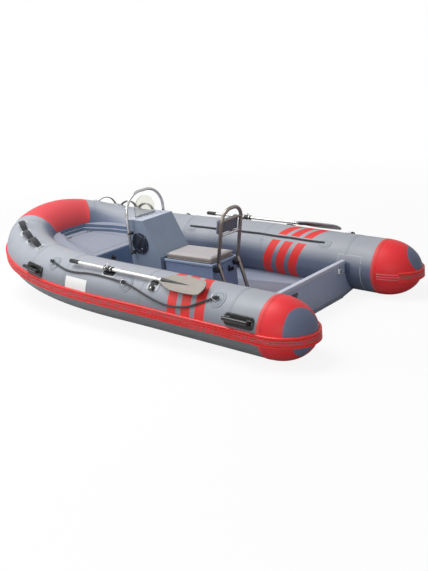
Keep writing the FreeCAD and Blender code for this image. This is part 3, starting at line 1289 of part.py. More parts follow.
# Eyes on the transom and under the bow, and the drain's boot on the transom.
lug_radius = size.eye_hole + size.eye_radius * 1.5
eye_reach = size.eye_base + lug_radius
eye_face = size.transom_face_place - size.rest_gap
eye_middle = Vector(eye_face - eye_reach, size.eye_half, size.eye_height)
eye_lug = Part.makeCylinder(lug_radius, size.eye_thickness, eye_middle - PORT * (size.eye_thickness / 2), PORT)
eye_arm = box_between(Vector(eye_middle.x, size.eye_half - size.eye_thickness / 2, size.eye_height - lug_radius),
                      Vector(eye_face, size.eye_half + size.eye_thickness / 2, size.eye_height + lug_radius))
eye_plate = centred_box(Vector(eye_face - size.eye_base / 2, size.eye_half, size.eye_height),
                        Vector(size.eye_base, lug_radius * 2, lug_radius * 2.5))
eye_bore = Part.makeCylinder(size.eye_hole, size.eye_thickness * 2, eye_middle - PORT * size.eye_thickness, PORT)
for turned_part in (eye_lug, eye_arm, eye_bore):
    turned_part.rotate(eye_middle, FORWARD, -size.eye_lean)
eye_axis = Rotation(FORWARD, -size.eye_lean).multVec(PORT)
transom_eye = eye_lug.fuse([eye_arm, eye_plate]).cut(eye_bore).removeSplitter()
feature("transom_eyes", both_sides([transom_eye]))
stem_low = hull_corners(STATION_SHARES[-2], KEEL_RISE_SHARES[-2])[0]
stem_high = hull_corners(STATION_SHARES[-1], KEEL_RISE_SHARES[-1])[0]
stem_line = (stem_high - stem_low).normalize()
stem_out = Vector(stem_line.z, 0, -stem_line.x)
bow_eye_radius = size.bow_eye_hole + size.bow_eye_wire * 1.5
bow_eye_middle = (stem_low + stem_high) * 0.5 + stem_out * (bow_eye_radius + size.bow_eye_wire)
bow_lug = Part.makeCylinder(bow_eye_radius, size.eye_thickness, bow_eye_middle - PORT * (size.eye_thickness / 2), PORT)
bow_arm = Part.makeBox(bow_eye_radius * 2, size.eye_thickness, bow_eye_radius * 2,
                       Vector(-bow_eye_radius, -size.eye_thickness / 2, 0))
bow_arm = turned(bow_arm, bow_eye_middle, stem_line, -stem_out)
bow_eye_bore = Part.makeCylinder(size.bow_eye_hole, size.eye_thickness * 2, bow_eye_middle - PORT * size.eye_thickness, PORT)
for turned_part in (bow_lug, bow_arm, bow_eye_bore):
    turned_part.rotate(bow_eye_middle, stem_out, -size.bow_eye_turn)
bow_eye_axis = Rotation(stem_out, -size.bow_eye_turn).multVec(PORT)
bow_eye = bow_lug.fuse(bow_arm).cut(bow_eye_bore).cut(hull)
bow_eye = max(bow_eye.Solids, key=lambda solid: solid.Volume)
feature("bow_eye", bow_eye)
print("bow eye", bow_eye_middle, "transom eye", eye_middle)
boot_face = size.transom_face_place - size.rest_gap
boot_loop = [Vector(boot_face, size.boot_place_half - size.boot_half, size.boot_top_height),
             Vector(boot_face, size.boot_place_half + size.boot_half, size.boot_top_height),
             Vector(boot_face, size.boot_place_half, size.boot_top_height - size.boot_drop)]
boot = Part.Face(Part.makePolygon(boot_loop + [boot_loop[0]])).extrude(-FORWARD * size.boot_depth)
feature("drain_boot", boot)

# Checks, and one STEP file for each sub-part.
doc.recompute()
for thing in doc.Objects:
    if "Invalid" in thing.State or "Error" in thing.State:
        raise RuntimeError(thing.Name + " did not recompute")
os.makedirs("parts", exist_ok=True)
for thing in nodes:
    if not thing.Shape.isValid() or not thing.Shape.Solids:
        raise RuntimeError(thing.Label + " has no valid solid")
    thing.Shape.exportStep("parts/%s.step" % thing.Label)
print(len(nodes), "sub-parts")
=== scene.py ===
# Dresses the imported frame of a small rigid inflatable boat: ropes, soft parts, trim, finishes and a stage.
# Everything is in metres in the boat's own frame: X to the bow, Y to port, Z up, water at zero.
import math

import bpy
from mathutils import Matrix, Vector


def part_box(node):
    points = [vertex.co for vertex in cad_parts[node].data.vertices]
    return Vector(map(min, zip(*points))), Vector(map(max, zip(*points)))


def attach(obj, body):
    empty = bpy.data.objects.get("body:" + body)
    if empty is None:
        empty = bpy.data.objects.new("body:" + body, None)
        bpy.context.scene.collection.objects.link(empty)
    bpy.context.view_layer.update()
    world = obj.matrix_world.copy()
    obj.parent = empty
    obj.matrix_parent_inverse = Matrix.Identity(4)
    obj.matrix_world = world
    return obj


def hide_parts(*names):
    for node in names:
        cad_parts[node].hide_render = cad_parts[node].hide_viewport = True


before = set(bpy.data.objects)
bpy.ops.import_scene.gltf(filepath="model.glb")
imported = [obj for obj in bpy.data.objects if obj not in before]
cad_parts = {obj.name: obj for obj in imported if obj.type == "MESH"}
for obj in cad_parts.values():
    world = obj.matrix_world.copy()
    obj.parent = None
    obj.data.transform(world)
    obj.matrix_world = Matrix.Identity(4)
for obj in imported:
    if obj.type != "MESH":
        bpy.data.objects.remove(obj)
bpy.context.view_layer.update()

bl_info = {
    "name": "Rigid inflatable boat dressing",
    "version": (1, 0, 0),
    "blender": (4, 5, 0),
    "location": "3D View > Sidebar > Boat",
    "description": "Ropes, cushions, fittings, finishes and a stage for a small inflatable boat",
    "category": "Object",
}


# Places on the tubes, from the same numbers as the solids.
TUBE_RADIUS = 0.225
SEAM_AFT = Vector((-1.5, 0.751, 0.2156))
CURVE_START = Vector((-0.304, 0.751, 0.2628))
SIDE_SLOPE = (CURVE_START.z - SEAM_AFT.z) / (CURVE_START.x - SEAM_AFT.x)
FIRST_POLE_RUN = 0.5316
BOW_POLES = [
    CURVE_START,
    CURVE_START + Vector((FIRST_POLE_RUN, 0, FIRST_POLE_RUN * SIDE_SLOPE)),
    Vector((1.62, 0.689, 0.222)),
    Vector((1.7, 0.4585, 0.511)),
    Vector((1.7, 0, 0.511)),
]
BOW_SEAM_BACK = 0.29

# Routes of the two lines on the port side; the starboard ones mirror them.
ROPE_ROUTE = [
    (0.7318, 0.8507, 0.4726), (0.7079, 0.8546, 0.4705), (0.6271, 0.8669, 0.4486), (0.5274, 0.8887, 0.4319),
    (0.4209, 0.9001, 0.4258), (0.3276, 0.9006, 0.4306), (0.2212, 0.8986, 0.4375), (0.104, 0.9032, 0.4371),
    (-0.0023, 0.9097, 0.4336), (-0.1142, 0.9185, 0.4265), (-0.2224, 0.9333, 0.4269), (-0.3393, 0.9405, 0.3971),
    (-0.4581, 0.9575, 0.3648), (-0.5661, 0.9673, 0.3391), (-0.6655, 0.9722, 0.3217), (-0.7957, 0.9698, 0.3235),
    (-0.8965, 0.9601, 0.3424), (-0.9606, 0.9437, 0.368), (-1.0246, 0.9214, 0.3934), (-1.1038, 0.9046, 0.421),
    (-1.1239, 0.8999, 0.4239)]
ROPE_HELD = [1, 10, 19]
ROPE_LENGTH = 1.905
INNER_ROUTE = [
    (-1.0121, 0.6023, 0.4122), (-0.8496, 0.5974, 0.4144), (-0.6873, 0.6011, 0.424), (-0.5248, 0.5968, 0.4267),
    (-0.3625, 0.6005, 0.4362), (-0.1987, 0.5957, 0.438), (-0.0373, 0.5962, 0.4439), (0.1222, 0.5863, 0.4426),
    (0.2809, 0.5815, 0.4486), (0.438, 0.5682, 0.451)]
INNER_LENGTH = 1.45

# Runs along the tube's axis, each with an angle in degrees above level on the outer side.
RING_PLACES = [(0.404, 51.0), (1.28, 41.5), (2.202, 49.0)]
STRAP_PLACES = [(3.08, 79.0), (2.85, 75.0), (2.665, 71.0)]


def bow_curve(share):
    """Point of the tube's axis on its curve round the bow, and its direction."""
    poles = list(BOW_POLES)
    while len(poles) > 2:
        poles = [a.lerp(b, share) for a, b in zip(poles, poles[1:])]
    return poles[0].lerp(poles[1], share), (poles[1] - poles[0]).normalized()


def axis_table(count=600):
    """Runs from the stern seam along the tube's axis, each with its point and direction."""
    rows = [(0.0, SEAM_AFT, (CURVE_START - SEAM_AFT).normalized())]
    run = (CURVE_START - SEAM_AFT).length
    before = CURVE_START
    for step in range(count + 1):
        point, heading = bow_curve(step / count)
        run += (point - before).length
        rows.append((run, point, heading))
        before = point
    return rows


AXIS_ROWS = axis_table()
AXIS_LENGTH = AXIS_ROWS[-1][0]
BOW_SEAM = AXIS_LENGTH - BOW_SEAM_BACK


def axis_at(run):
    """Point and direction of the tube's axis at a run from the stern seam."""
    if run < 0:
        return SEAM_AFT + AXIS_ROWS[0][2] * run, AXIS_ROWS[0][2]
    for low, high in zip(AXIS_ROWS, AXIS_ROWS[1:]):
        if low[0] <= run <= high[0] and high[0] > low[0]:
            share = (run - low[0]) / (high[0] - low[0])
            return low[1].lerp(high[1], share), low[2].lerp(high[2], share).normalized()
    return AXIS_ROWS[-1][1], AXIS_ROWS[-1][2]


def on_tube(run, degrees, radius):
    """Point round the port tube's axis, with the directions along and outwards from the tube."""
    middle, along = axis_at(run)
    side = Vector((-along.y, along.x, 0)).normalized()
    top = along.cross(side).normalized()
    turn = math.radians(degrees)
    normal = side * math.cos(turn) + top * math.sin(turn)
    return middle + normal * radius, along, normal


def run_beside(place):
    """Run along the axis to where it passes a place along the boat."""
    for low, high in zip(AXIS_ROWS, AXIS_ROWS[1:]):
        if low[1].x <= place <= high[1].x and high[1].x > low[1].x:
            return low[0] + (high[0] - low[0]) * (place - low[1].x) / (high[1].x - low[1].x)
    return 0.0


def set_up(point, along, normal):
    """Matrix that carries X to along, Z to the normal and the origin to a point."""
    normal = (normal - along * normal.dot(along)).normalized()
    across = normal.cross(along).normalized()
    return Matrix((
        (along.x, across.x, normal.x, point.x),
        (along.y, across.y, normal.y, point.y),
        (along.z, across.z, normal.z, point.z),
        (0, 0, 0, 1)))


def facing(point, axis):
    """Matrix that carries Z to an axis and the origin to a point."""
    place = Vector(axis).to_track_quat("Z", "Y").to_matrix().to_4x4()
    place.translation = point
    return place


# The port oar's line from its blade's tip to its grip, its pin, and the angle at which its cradle sits.
OAR_ANGLE = 58.0
OAR_OFF_AXIS = 0.270
OAR_TIP = on_tube(run_beside(-0.976), OAR_ANGLE, OAR_OFF_AXIS)[0]
OAR_GRIP = on_tube(run_beside(0.466), OAR_ANGLE, OAR_OFF_AXIS)[0]
OAR_ALONG = (OAR_GRIP - OAR_TIP).normalized()
OAR_LENGTH = (OAR_GRIP - OAR_TIP).length
PIN_AXIS = Vector((-0.017936, 0.358829, 0.933231))
PIN_SHARE = -OAR_TIP.x / (OAR_GRIP.x - OAR_TIP.x)
PIN_POINT = OAR_TIP.lerp(OAR_GRIP, PIN_SHARE)
CLIP_RUN = run_beside(-0.49)


def on_oar(distance):
    """Place that carries Z along the port oar, at a distance from its blade's tip."""
    return facing(OAR_TIP + OAR_ALONG * distance, OAR_ALONG)


# Modelling steps.
WELD_GAP = 0.00002


def alone(piece):
    """Make a piece the only selected one, and the active one."""
    bpy.ops.object.select_all(action="DESELECT")
    piece.select_set(True)
    bpy.context.view_layer.objects.active = piece
    return piece


def fresh():
    """Deselect everything, so that a new primitive stands alone."""
    bpy.ops.object.select_all(action="DESELECT")


def settled(piece, place=None):
    """Put a piece's place, turn and size into its mesh."""
    alone(piece)
    if place is not None:
        piece.matrix_world = place
        bpy.context.view_layer.update()
    bpy.ops.object.transform_apply(location=True, rotation=True, scale=True)
    return piece


def block(length, width, height, middle=(0, 0, 0)):
    """A cuboid of three lengths round a point, with its size in its mesh."""
    fresh()
    bpy.ops.mesh.primitive_cube_add(size=1, location=middle)
    piece = bpy.context.active_object
    piece.scale = (length, width, height)
    return settled(piece)


def rod(radius, length, place=None, sides=32):
    """An upright cylinder round the origin, or carried to a place."""
    fresh()
    bpy.ops.mesh.primitive_cylinder_add(vertices=sides, radius=radius, depth=length)
    return settled(bpy.context.active_object, place)


def loop(radius, wire, place=None, around=48, section=14):
    """A ring of round wire in the XY plane, or carried to a place."""
    fresh()
    bpy.ops.mesh.primitive_torus_add(
        major_radius=radius, minor_radius=wire, major_segments=around, minor_segments=section)
    return settled(bpy.context.active_object, place)


def sheet(length, width, along, across):
    """A flat grid round the origin with its size in its mesh, cut so many times each way."""
    fresh()
    bpy.ops.mesh.primitive_grid_add(x_subdivisions=along, y_subdivisions=across, size=1)
    piece = bpy.context.active_object
    piece.scale = (length, width, 1)
    return settled(piece)


def modified(piece, kind, **settings):
    """Give a piece a live modifier."""
    step = piece.modifiers.new(kind.lower(), kind)
    for word, value in settings.items():
        setattr(step, word, value)
    return step


def shaped(piece, kind, **settings):
    """Give a piece a modifier and apply it."""
    alone(piece)
    bpy.ops.object.modifier_apply(modifier=modified(piece, kind, **settings).name)
    return piece


def rounded(piece, width, segments=3, angle=35.0):
    """Round the sharp edges of a piece."""
    return shaped(
        piece, "BEVEL", width=width, segments=segments, limit_method="ANGLE", angle_limit=math.radians(angle))


def joined(pieces):
    """Join pieces into the first of them."""
    bpy.ops.object.select_all(action="DESELECT")
    for piece in pieces:
        piece.select_set(True)
    bpy.context.view_layer.objects.active = pieces[0]
    if len(pieces) > 1:
        bpy.ops.object.join()
    return bpy.context.active_object


def mended(piece, merge=None, outwards=True):
    """Merge a piece's doubles where a gap is given, and turn its faces outwards."""
    alone(piece)
    bpy.ops.object.mode_set(mode="EDIT")
    bpy.ops.mesh.select_all(action="SELECT")
    if merge is not None:
        bpy.ops.mesh.remove_doubles(threshold=merge)
    if outwards:
        bpy.ops.mesh.normals_make_consistent(inside=False)
    bpy.ops.object.mode_set(mode="OBJECT")
    return piece


def copied(piece, place=None):
    """A copy of a piece with its own mesh, carried to a place."""
    other = piece.copy()
    other.data = piece.data.copy()
    bpy.context.scene.collection.objects.link(other)
    if place is not None:
        other.data.transform(place)
    return other


def across_boat(piece):
    """The mirror image of a piece on the boat's other side."""
    other = copied(piece, Matrix.Scale(-1, 4, (0, 1, 0)))
    other.data.flip_normals()
    return other


def shifted(piece, x=0.0, y=0.0, z=0.0):
    """Move a piece's mesh."""
    piece.data.transform(Matrix.Translation((x, y, z)))
    return piece


def wrapped(piece, run, degrees):
    """Lay a flat piece, made round the origin with X along, on the port tube's surface."""
    for vertex in piece.data.vertices:
        flat = vertex.co.copy()
        turn = degrees - math.degrees(flat.y / TUBE_RADIUS)
        vertex.co = on_tube(run + flat.x, turn, TUBE_RADIUS + flat.z)[0]
    piece.data.update()
    return piece


def fabric_patch(length, width, height, roundness=0.15, cuts=14):
    """A glued patch: a flat sheet with rounded corners, or a disc at roundness one."""
    fresh()
    bpy.ops.mesh.primitive_grid_add(x_subdivisions=cuts, y_subdivisions=cuts, size=2)
    patch = bpy.context.active_object
    for vertex in patch.data.vertices:
        u, v = vertex.co.x, vertex.co.y
        vertex.co.x = u * math.sqrt(1 - roundness * v * v / 2) * length / 2
        vertex.co.y = v * math.sqrt(1 - roundness * u * u / 2) * width / 2
    return shaped(patch, "SOLIDIFY", thickness=height, offset=1.0)


def bolt_head(radius, height, place, sides=6):
    """A bolt's head on its washer, standing on a point."""
    head = rounded(rod(radius, height, Matrix.Translation((0, 0, height / 2)), sides), height * 0.25, 2, 30)
    washer = rod(radius * 1.5, height * 0.3, Matrix.Translation((0, 0, height * 0.15)), 20)
    return settled(joined([head, washer]), place)


def node_copy(name):
    """A copy of a CAD node's mesh with its loose triangles merged."""
    piece = bpy.data.objects.new(name + "_shape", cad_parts[name].data.copy())
    bpy.context.scene.collection.objects.link(piece)
    mended(piece, WELD_GAP, outwards=False)
    bpy.ops.mesh.customdata_custom_splitnormals_clear()
    return piece


def marked(piece, name, finish, body, stands_for):
    """Name a finished piece, give it its finish and its body, and hide the CAD nodes it stands for."""
    piece.name = name
    piece.data.name = name
    piece.data.materials.clear()
    piece.data.materials.append(FINISH[finish])
    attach(piece, body)
    if stands_for:
        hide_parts(*stands_for)
    return piece


def smoothed(parts, sharp):
    """Join parts and shade them smooth, with edges sharper than an angle left sharp."""
    piece = alone(joined(parts if isinstance(parts, list) else [parts]))
    if sharp is not None:
        bpy.ops.object.shade_smooth_by_angle(angle=math.radians(sharp))
    return piece


def dressed(parts, name, finish, body="boat", stands_for=(), sharp=40.0):
    """Join, smooth and mark the parts of one piece."""
    return marked(smoothed(parts, sharp), name, finish, body, stands_for)


def dressed_both(parts, name, finish, bodies=("boat", "boat"), stands_for=((), ()), sharp=40.0):
    """Dress the parts of a port piece, and its mirror image on the starboard side."""
    port = smoothed(parts, sharp)
    for piece, side, body, nodes in zip((port, across_boat(port)), ("port", "starboard"), bodies, stands_for):
        marked(piece, "%s_%s" % (name, side), finish, body, nodes)


# Materials.
def linear(code):
    """Linear colour of an sRGB hex code."""
    channels = [int(code[start:start + 2], 16) / 255 for start in (0, 2, 4)]
    return tuple(c / 12.92 if c <= 0.04045 else ((c + 0.055) / 1.055) ** 2.4 for c in channels) + (1.0,)


def fill(tree, target, inputs):
    """Fill or link a node's sockets, named or in their order."""
    for socket, value in inputs.items() if isinstance(inputs, dict) else enumerate(inputs):
        if isinstance(value, bpy.types.NodeSocket):
            tree.links.new(value, target.inputs[socket])
        else:
            target.inputs[socket].default_value = value


def node(tree, kind, inputs=(), out=0, **settings):
    """Add one node with its settings and links, and give back one of its outputs."""
    made = tree.nodes.new("ShaderNode" + kind)
    for word, value in settings.items():
        setattr(made, word, value)
    fill(tree, made, inputs)
    return made.outputs[out]


def new_finish(name):
    """A new material with its tree and the piece's own coordinates."""
    finish = bpy.data.materials.new(name)
    finish.use_nodes = True
    return finish, finish.node_tree, node(finish.node_tree, "TexCoord", out="Object")


def clouded(tree, place, colour, shade, spots, detail):
    """A cloud with so many soft spots to the metre, and the paint that it mixes from two colours."""
    # A colour is a hex code, or linear already.
    cloud = node(tree, "TexNoise", {"Vector": place, "Scale": spots, "Detail": detail})
    ends = [linear(end) if isinstance(end, str) else tuple(end) for end in (colour, shade)]
    return cloud, node(tree, "Mix", {0: cloud, 6: ends[0], 7: ends[1]}, 2, data_type="RGBA")


def band(tree, value, low, high, soft):
    """One where a value lies between two limits, with soft ends."""
    rise = node(tree, "MapRange", (value, low - soft, low + soft, 0.0, 1.0))
    fall = node(tree, "MapRange", (value, high - soft, high + soft, 1.0, 0.0))
    return node(tree, "Math", (rise, fall), operation="MULTIPLY")


def shaded(tree, paint, roughness, height=None, depth=0.0, strength=0.5, **plain):
    """Link a material's colour, roughness and relief to its shader, and set its plain numbers."""
    sockets = {"Base Color": paint, "Roughness": roughness}
    sockets.update((word.replace("_", " "), value) for word, value in plain.items())
    if height is not None:
        sockets["Normal"] = node(tree, "Bump", {"Height": height, "Distance": depth, "Strength": strength})
    fill(tree, tree.nodes["Principled BSDF"], sockets)


def laid_over(tree, base, code, share, *limits):
    """Lay a colour over another by a share, kept within limits of other values."""
    for limit in limits:
        share = node(tree, "Math", (share, band(tree, *limit)), operation="MULTIPLY")
    return node(tree, "Mix", {0: share, 6: base, 7: linear(code)}, 2, data_type="RGBA")


def around_tube(tree, place):
    """Angle round a straight tube, in degrees above level on its outer side, and place along the boat."""
    level = SEAM_AFT.z - SEAM_AFT.x * SIDE_SLOPE
    along, across, up = (node(tree, "SeparateXYZ", (place,), axis) for axis in range(3))
    across = node(tree, "Math", (across,), operation="ABSOLUTE")
    across = node(tree, "Math", (across, SEAM_AFT.y), operation="SUBTRACT")
    axis = node(tree, "Math", (along, SIDE_SLOPE, level), operation="MULTIPLY_ADD")
    up = node(tree, "Math", (up, axis), operation="SUBTRACT")
    turn = node(tree, "Math", (up, across), operation="ARCTAN2")
    return node(tree, "Math", (turn,), operation="DEGREES"), along


def above_axis(tree, place, along, foremost=1.69, count=12):
    """Height over the tube's axis, which rises towards the bow."""
    share = node(tree, "MapRange", (along, SEAM_AFT.x, foremost, 0.0, 1.0))
    axis = node(tree, "ValToRGB", (share,))
    stops = axis.node.color_ramp.elements
    for step in range(1, count - 1):
        stops.new(step / (count - 1))
    for step, stop in enumerate(stops):
        spot = SEAM_AFT.x + (foremost - SEAM_AFT.x) * step / (count - 1)
        level = axis_at(run_beside(spot))[0].z
        stop.color = (level, level, level, 1.0)
    return node(tree, "Math", (node(tree, "SeparateXYZ", (place,), 2), axis), operation="SUBTRACT")


def painted_tube_shade(tree, place, turn, along, paint):
    """Painted shade on the tube's cloth, on its outer, lower and inner sides, and its tension creases."""
    # Painted shade: the outer side is painted darker towards the strake, where the tube turns from the light.
    outer = node(tree, "MapRange", (turn, 52.0, 14.0, 0.0, 0.8))
    paint = laid_over(tree, paint, "7d828c", outer, (turn, -100.0, 90.0, 1.0), (along, -3.0, 1.2, 0.3))
    # Painted shade: below the strake the cloth is painted darker, on the tube's underside.
    below = node(tree, "MapRange", (above_axis(tree, place, along), -0.03, -0.06, 0.0, 1.0))
    paint = laid_over(tree, paint, "787a7d", below)
    # Painted shade: under its long seam the inner side is painted bluer and darker, where it lies in shade.
    panel = "626d85"
    whole = node(tree, "Math", (turn, 360.0, 0.0), operation="WRAP")
    inner = node(tree, "MapRange", (whole, 150.0, 174.0, 0.0, 0.9))
    paint = laid_over(tree, paint, panel, inner, (whole, 90.0, 262.0, 4.0), (along, -3.0, 1.55, 0.12))
    # Round the bow the same painted shade is on the side that faces the middle of the deck.
    inward = node(tree, "VectorMath", ((0.9, 0.0, 0.3), place), operation="SUBTRACT")
    inward = node(tree, "VectorMath", (inward,), operation="NORMALIZE")
    normal = node(tree, "NewGeometry", out="Normal")
    inward = node(tree, "VectorMath", (inward, normal), "Value", operation="DOT_PRODUCT")
    inner = node(tree, "MapRange", (inward, 0.15, 0.5, 0.0, 0.9))
    paint = laid_over(tree, paint, panel, inner, (along, 1.2, 3.0, 0.15))
    # Tension creases run across the inner side beside the console.
    drawn = node(tree, "Mapping", {"Vector": place, "Scale": (34.0, 3.0, 3.0)})
    creases = node(tree, "TexNoise", {"Vector": drawn, "Scale": 1.0, "Detail": 3.0})
    for limit in ((along, 0.0, 0.5, 0.12), (turn, 118.0, 176.0, 12.0)):
        creases = node(tree, "Math", (creases, band(tree, *limit)), operation="MULTIPLY")
    return paint, node(tree, "Math", (creases, 7.0), operation="MULTIPLY")


def stripe_marks(tree, turn, along, paint, relief):
    """Three slanting red stripes, sprayed through a mask, with a grey gap under the inner line."""
    middle, pitch, half_width, half_all, lean = -0.8505, 0.131, 0.043, 0.196, 0.279
    past = node(tree, "Math", (turn, -90.0), operation="LESS_THAN")
    whole = node(tree, "Math", (past, 360.0, turn), operation="MULTIPLY_ADD")
    slant = node(tree, "MapRange", (whole, 20.0, 224.0, 0.0, 1.0), interpolation_type="SMOOTHSTEP")
    line = node(tree, "Math", (slant, -lean, along), operation="MULTIPLY_ADD")
    line = node(tree, "Math", (line, -middle), operation="ADD")
    step = node(tree, "Math", (line, pitch / 2, -pitch / 2), operation="WRAP")
    stripe = node(tree, "Math", (1.0, band(tree, whole, 125.0, 139.0, 0.3)), operation="SUBTRACT")
    edge = 0.001
    for limit in (
            (line, -half_all, half_all, edge), (step, -half_width, half_width, edge), (whole, -8.0, 226.0, 0.3)):
        stripe = node(tree, "Math", (stripe, band(tree, *limit)), operation="MULTIPLY")
    relief = node(tree, "Math", (stripe, 0.3, relief), operation="MULTIPLY_ADD")
    return laid_over(tree, paint, "e23633", stripe), relief


def cone_marks(tree, turn, along, paint):
    """A grey doubler over the cone's tip, above and below the strake, and a double weld line by the seam."""
    depth = node(tree, "Math", (along, -1.0, SEAM_AFT.x), operation="MULTIPLY_ADD")
    # The doubler's edge runs aft towards the top, and again below the strake.
    over = node(tree, "MapRange", (turn, 50.0, 50.0 + 78.0, 0.0, 1.0), clamp=False)
    over = node(tree, "Math", (over, 0.0), operation="MAXIMUM")
    over = node(tree, "Math", (over, 1.7), operation="POWER")
    edge = node(tree, "Math", (over, 0.08, 0.163), operation="MULTIPLY_ADD")
    under = node(tree, "MapRange", (turn, 0.0, -12.0, 0.0, 0.045))
    edge = node(tree, "Math", (edge, under), operation="ADD")
    beyond = node(tree, "Math", (depth, edge), operation="SUBTRACT")
    doubler = band(tree, beyond, 0.0, 0.5, 0.001)
    doubler = node(tree, "Math", (doubler, band(tree, turn, -75.0, 150.0, 1.0)), operation="MULTIPLY")
    paint = laid_over(tree, paint, "68718a", doubler)
    welds = [band(tree, depth, low, low + 0.003, 0.0006) for low in (0.013, 0.024)]
    weld = node(tree, "Math", welds, operation="ADD")
    paint = laid_over(tree, paint, "8a1c22", node(tree, "Math", (weld, 0.45), operation="MULTIPLY"))
    relief = node(tree, "Math", (doubler, 0.6), operation="MULTIPLY")
    return paint, node(tree, "Math", (relief, weld), operation="SUBTRACT")


def coated_fabric(name, colour, shade, marks="plain"):
    """Polyester cloth with a calendered PVC coat, welded at its seams: a soft even sheen over a faint grain."""
    finish, tree, place = new_finish(name)
    # Tension shadows and handling marks are a hand wide.
    cloud, paint = clouded(tree, place, colour, shade, 6.0, 4.0)
    # The cloth's threads lie 0.6 mm apart; the grain is drawn 4 mm coarse to show at all.
    threads = node(tree, "TexNoise", {"Vector": place, "Scale": 1000.0 / 4.0, "Detail": 2.0})
    grain = node(tree, "Math", (threads, 0.12), operation="MULTIPLY")
    if marks != "plain":
        turn, along = around_tube(tree, place)
        if marks == "cone":
            paint, relief = cone_marks(tree, turn, along, paint)
        else:
            # Stripes and tapes get the tube's painted shade.
            paint, relief = painted_tube_shade(tree, place, turn, along, paint)
        if marks == "stripes":
            paint, relief = stripe_marks(tree, turn, along, paint, relief)
        grain = node(tree, "Math", (grain, relief), operation="ADD")
    sheen = node(tree, "MapRange", (cloud, 0.3, 0.7, 0.44, 0.54))
    shaded(tree, paint, sheen, grain, 0.0012, 0.6, IOR=1.52, Specular_IOR_Level=0.34)
    return finish


def rubber_strake(name):
    """Extruded PVC rub strake: red ribs with faint diagonal knurling, and two grooves that hold dust."""
    finish, tree, place = new_finish(name)
    rib, level = (node(tree, "Attribute", out="Fac", attribute_name=word) for word in ("rib", "level"))
    red = clouded(tree, place, "f03632", "e32d2c", 14.0, 3.0)[1]
    # Knurled lines 9 mm apart run slantwise over the outer ribs.
    slanted = node(tree, "Mapping", {"Vector": place, "Rotation": (0.0, math.radians(38.0), 0.0)})
    lines = node(tree, "TexWave", {"Vector": slanted, "Scale": 17.0}, "Fac")
    knurl = node(tree, "Math", (lines, band(tree, level, 0.018, 0.06, 0.002)), operation="MULTIPLY")
    red = laid_over(tree, red, "a81d24", node(tree, "Math", (knurl, 0.1), operation="MULTIPLY"))
    paint = node(tree, "Mix", {0: rib, 6: linear("b0808a"), 7: red}, 2, data_type="RGBA")
    shaded(tree, paint, 0.42, knurl, 0.0006, IOR=1.52)
    return finish


def painted_aluminium(
        name, colour, shade, roughness=0.45, grain_mm=2.5, depth=0.0004, panel=None, level=None):
    """Aluminium sheet with baked powder coat: even colour, fine orange-peel grain, duller where it is walked on."""
    finish, tree, place = new_finish(name)
    cloud, paint = clouded(tree, place, colour, shade, 9.0, 5.0)
    if panel is not None:
        # Above this height the console is sprayed in the paler deck colour.
        height = node(tree, "SeparateXYZ", (place,), 2)
        paint = laid_over(tree, paint, "bcc2d3", band(tree, height, panel, panel + 1.0, 0.0004))
    if level is not None:
        # Faces that look up take the deck's colour; the others keep the darker colour as painted shade.
        up = node(tree, "SeparateXYZ", (node(tree, "NewGeometry", out="Normal"),), 2)
        paint = laid_over(tree, paint, level, band(tree, up, 0.8, 2.0, 0.05))
    peel = node(tree, "TexNoise", {"Vector": place, "Scale": 1000.0 / grain_mm, "Detail": 2.0})
    wear = node(tree, "MapRange", (cloud, 0.3, 0.7, roughness - 0.05, roughness + 0.07))
    shaded(tree, paint, wear, peel, depth, IOR=1.5)
    return finish


def grained_vinyl(name, colour, shade):
    """Marine upholstery vinyl, embossed with a leather grain: soft, a little waxy, creased by sitting."""
    finish, tree, place = new_finish(name)
    cloud, paint = clouded(tree, place, colour, shade, 16.0, 4.0)
    # Grain cells are 1.2 mm wide on the real hide pattern and drawn 3 mm wide.
    cells = node(tree, "TexVoronoi", {"Vector": place, "Scale": 330.0}, feature="DISTANCE_TO_EDGE")
    cells = node(tree, "Math", (cells, 0.25), operation="MINIMUM")
    height = node(tree, "Math", (cloud, 0.5, cells), operation="MULTIPLY_ADD")
    shaded(tree, paint, 0.52, height, 0.0012, IOR=1.48, Sheen_Weight=0.15)
    return finish


def bright_metal(name, colour, roughness, lines_mm=3.0):
    """Drawn metal, polished or brushed: mirror-like with fine lines that stretch the highlights."""
    finish, tree, place = new_finish(name)
    streak = node(tree, "Mapping", {"Vector": place, "Scale": (1.0, 1.0, 14.0)})
    lines = node(tree, "TexNoise", {"Vector": streak, "Scale": 1000.0 / lines_mm, "Detail": 3.0})
    dull = tuple(channel * 0.86 for channel in linear(colour)[:3]) + (1.0,)
    paint = clouded(tree, place, colour, dull, 22.0, 3.0)[1]
    shine = node(tree, "MapRange", (lines, 0.3, 0.7, roughness * 0.8, roughness * 1.3))
    shaded(tree, paint, shine, lines, 0.0002, 0.25, Metallic=1.0)
    return finish


def moulded_plastic(name, colour, shade, roughness, grain_mm=2.0, depth=0.0004):
    """Injection-moulded nylon, rubber or polypropylene: an even satin skin with a fine spark-eroded grain."""
    finish, tree, place = new_finish(name)
    cloud, paint = clouded(tree, place, colour, shade, 30.0, 4.0)
    grain = node(tree, "TexNoise", {"Vector": place, "Scale": 1000.0 / grain_mm, "Detail": 2.0})
    satin = node(tree, "MapRange", (cloud, 0.3, 0.7, roughness - 0.04, roughness + 0.06))
    shaded(tree, paint, satin, grain, depth, IOR=1.5)
    return finish


def braided_rope(name):
    """Braided polyester rope: two sets of crossing strands, dull, with a soft fuzz of broken fibres."""
    finish, tree, place = new_finish(name)
    crossing = []
    # Strands cross every 6 mm.
    for lean in (45.0, -45.0):
        turned = node(tree, "Mapping", {"Vector": place, "Rotation": (0.0, math.radians(lean), 0.0)})
        crossing.append(node(tree, "TexWave", {"Vector": turned, "Scale": 26.0}, "Fac"))
    braid = node(tree, "Math", crossing, operation="MAXIMUM")
    paint = node(tree, "Mix", {0: braid, 6: linear("15161a"), 7: linear("33353b")}, 2, data_type="RGBA")
    shaded(tree, paint, 0.7, braid, 0.0009, 0.8, Sheen_Weight=0.2)
    return finish


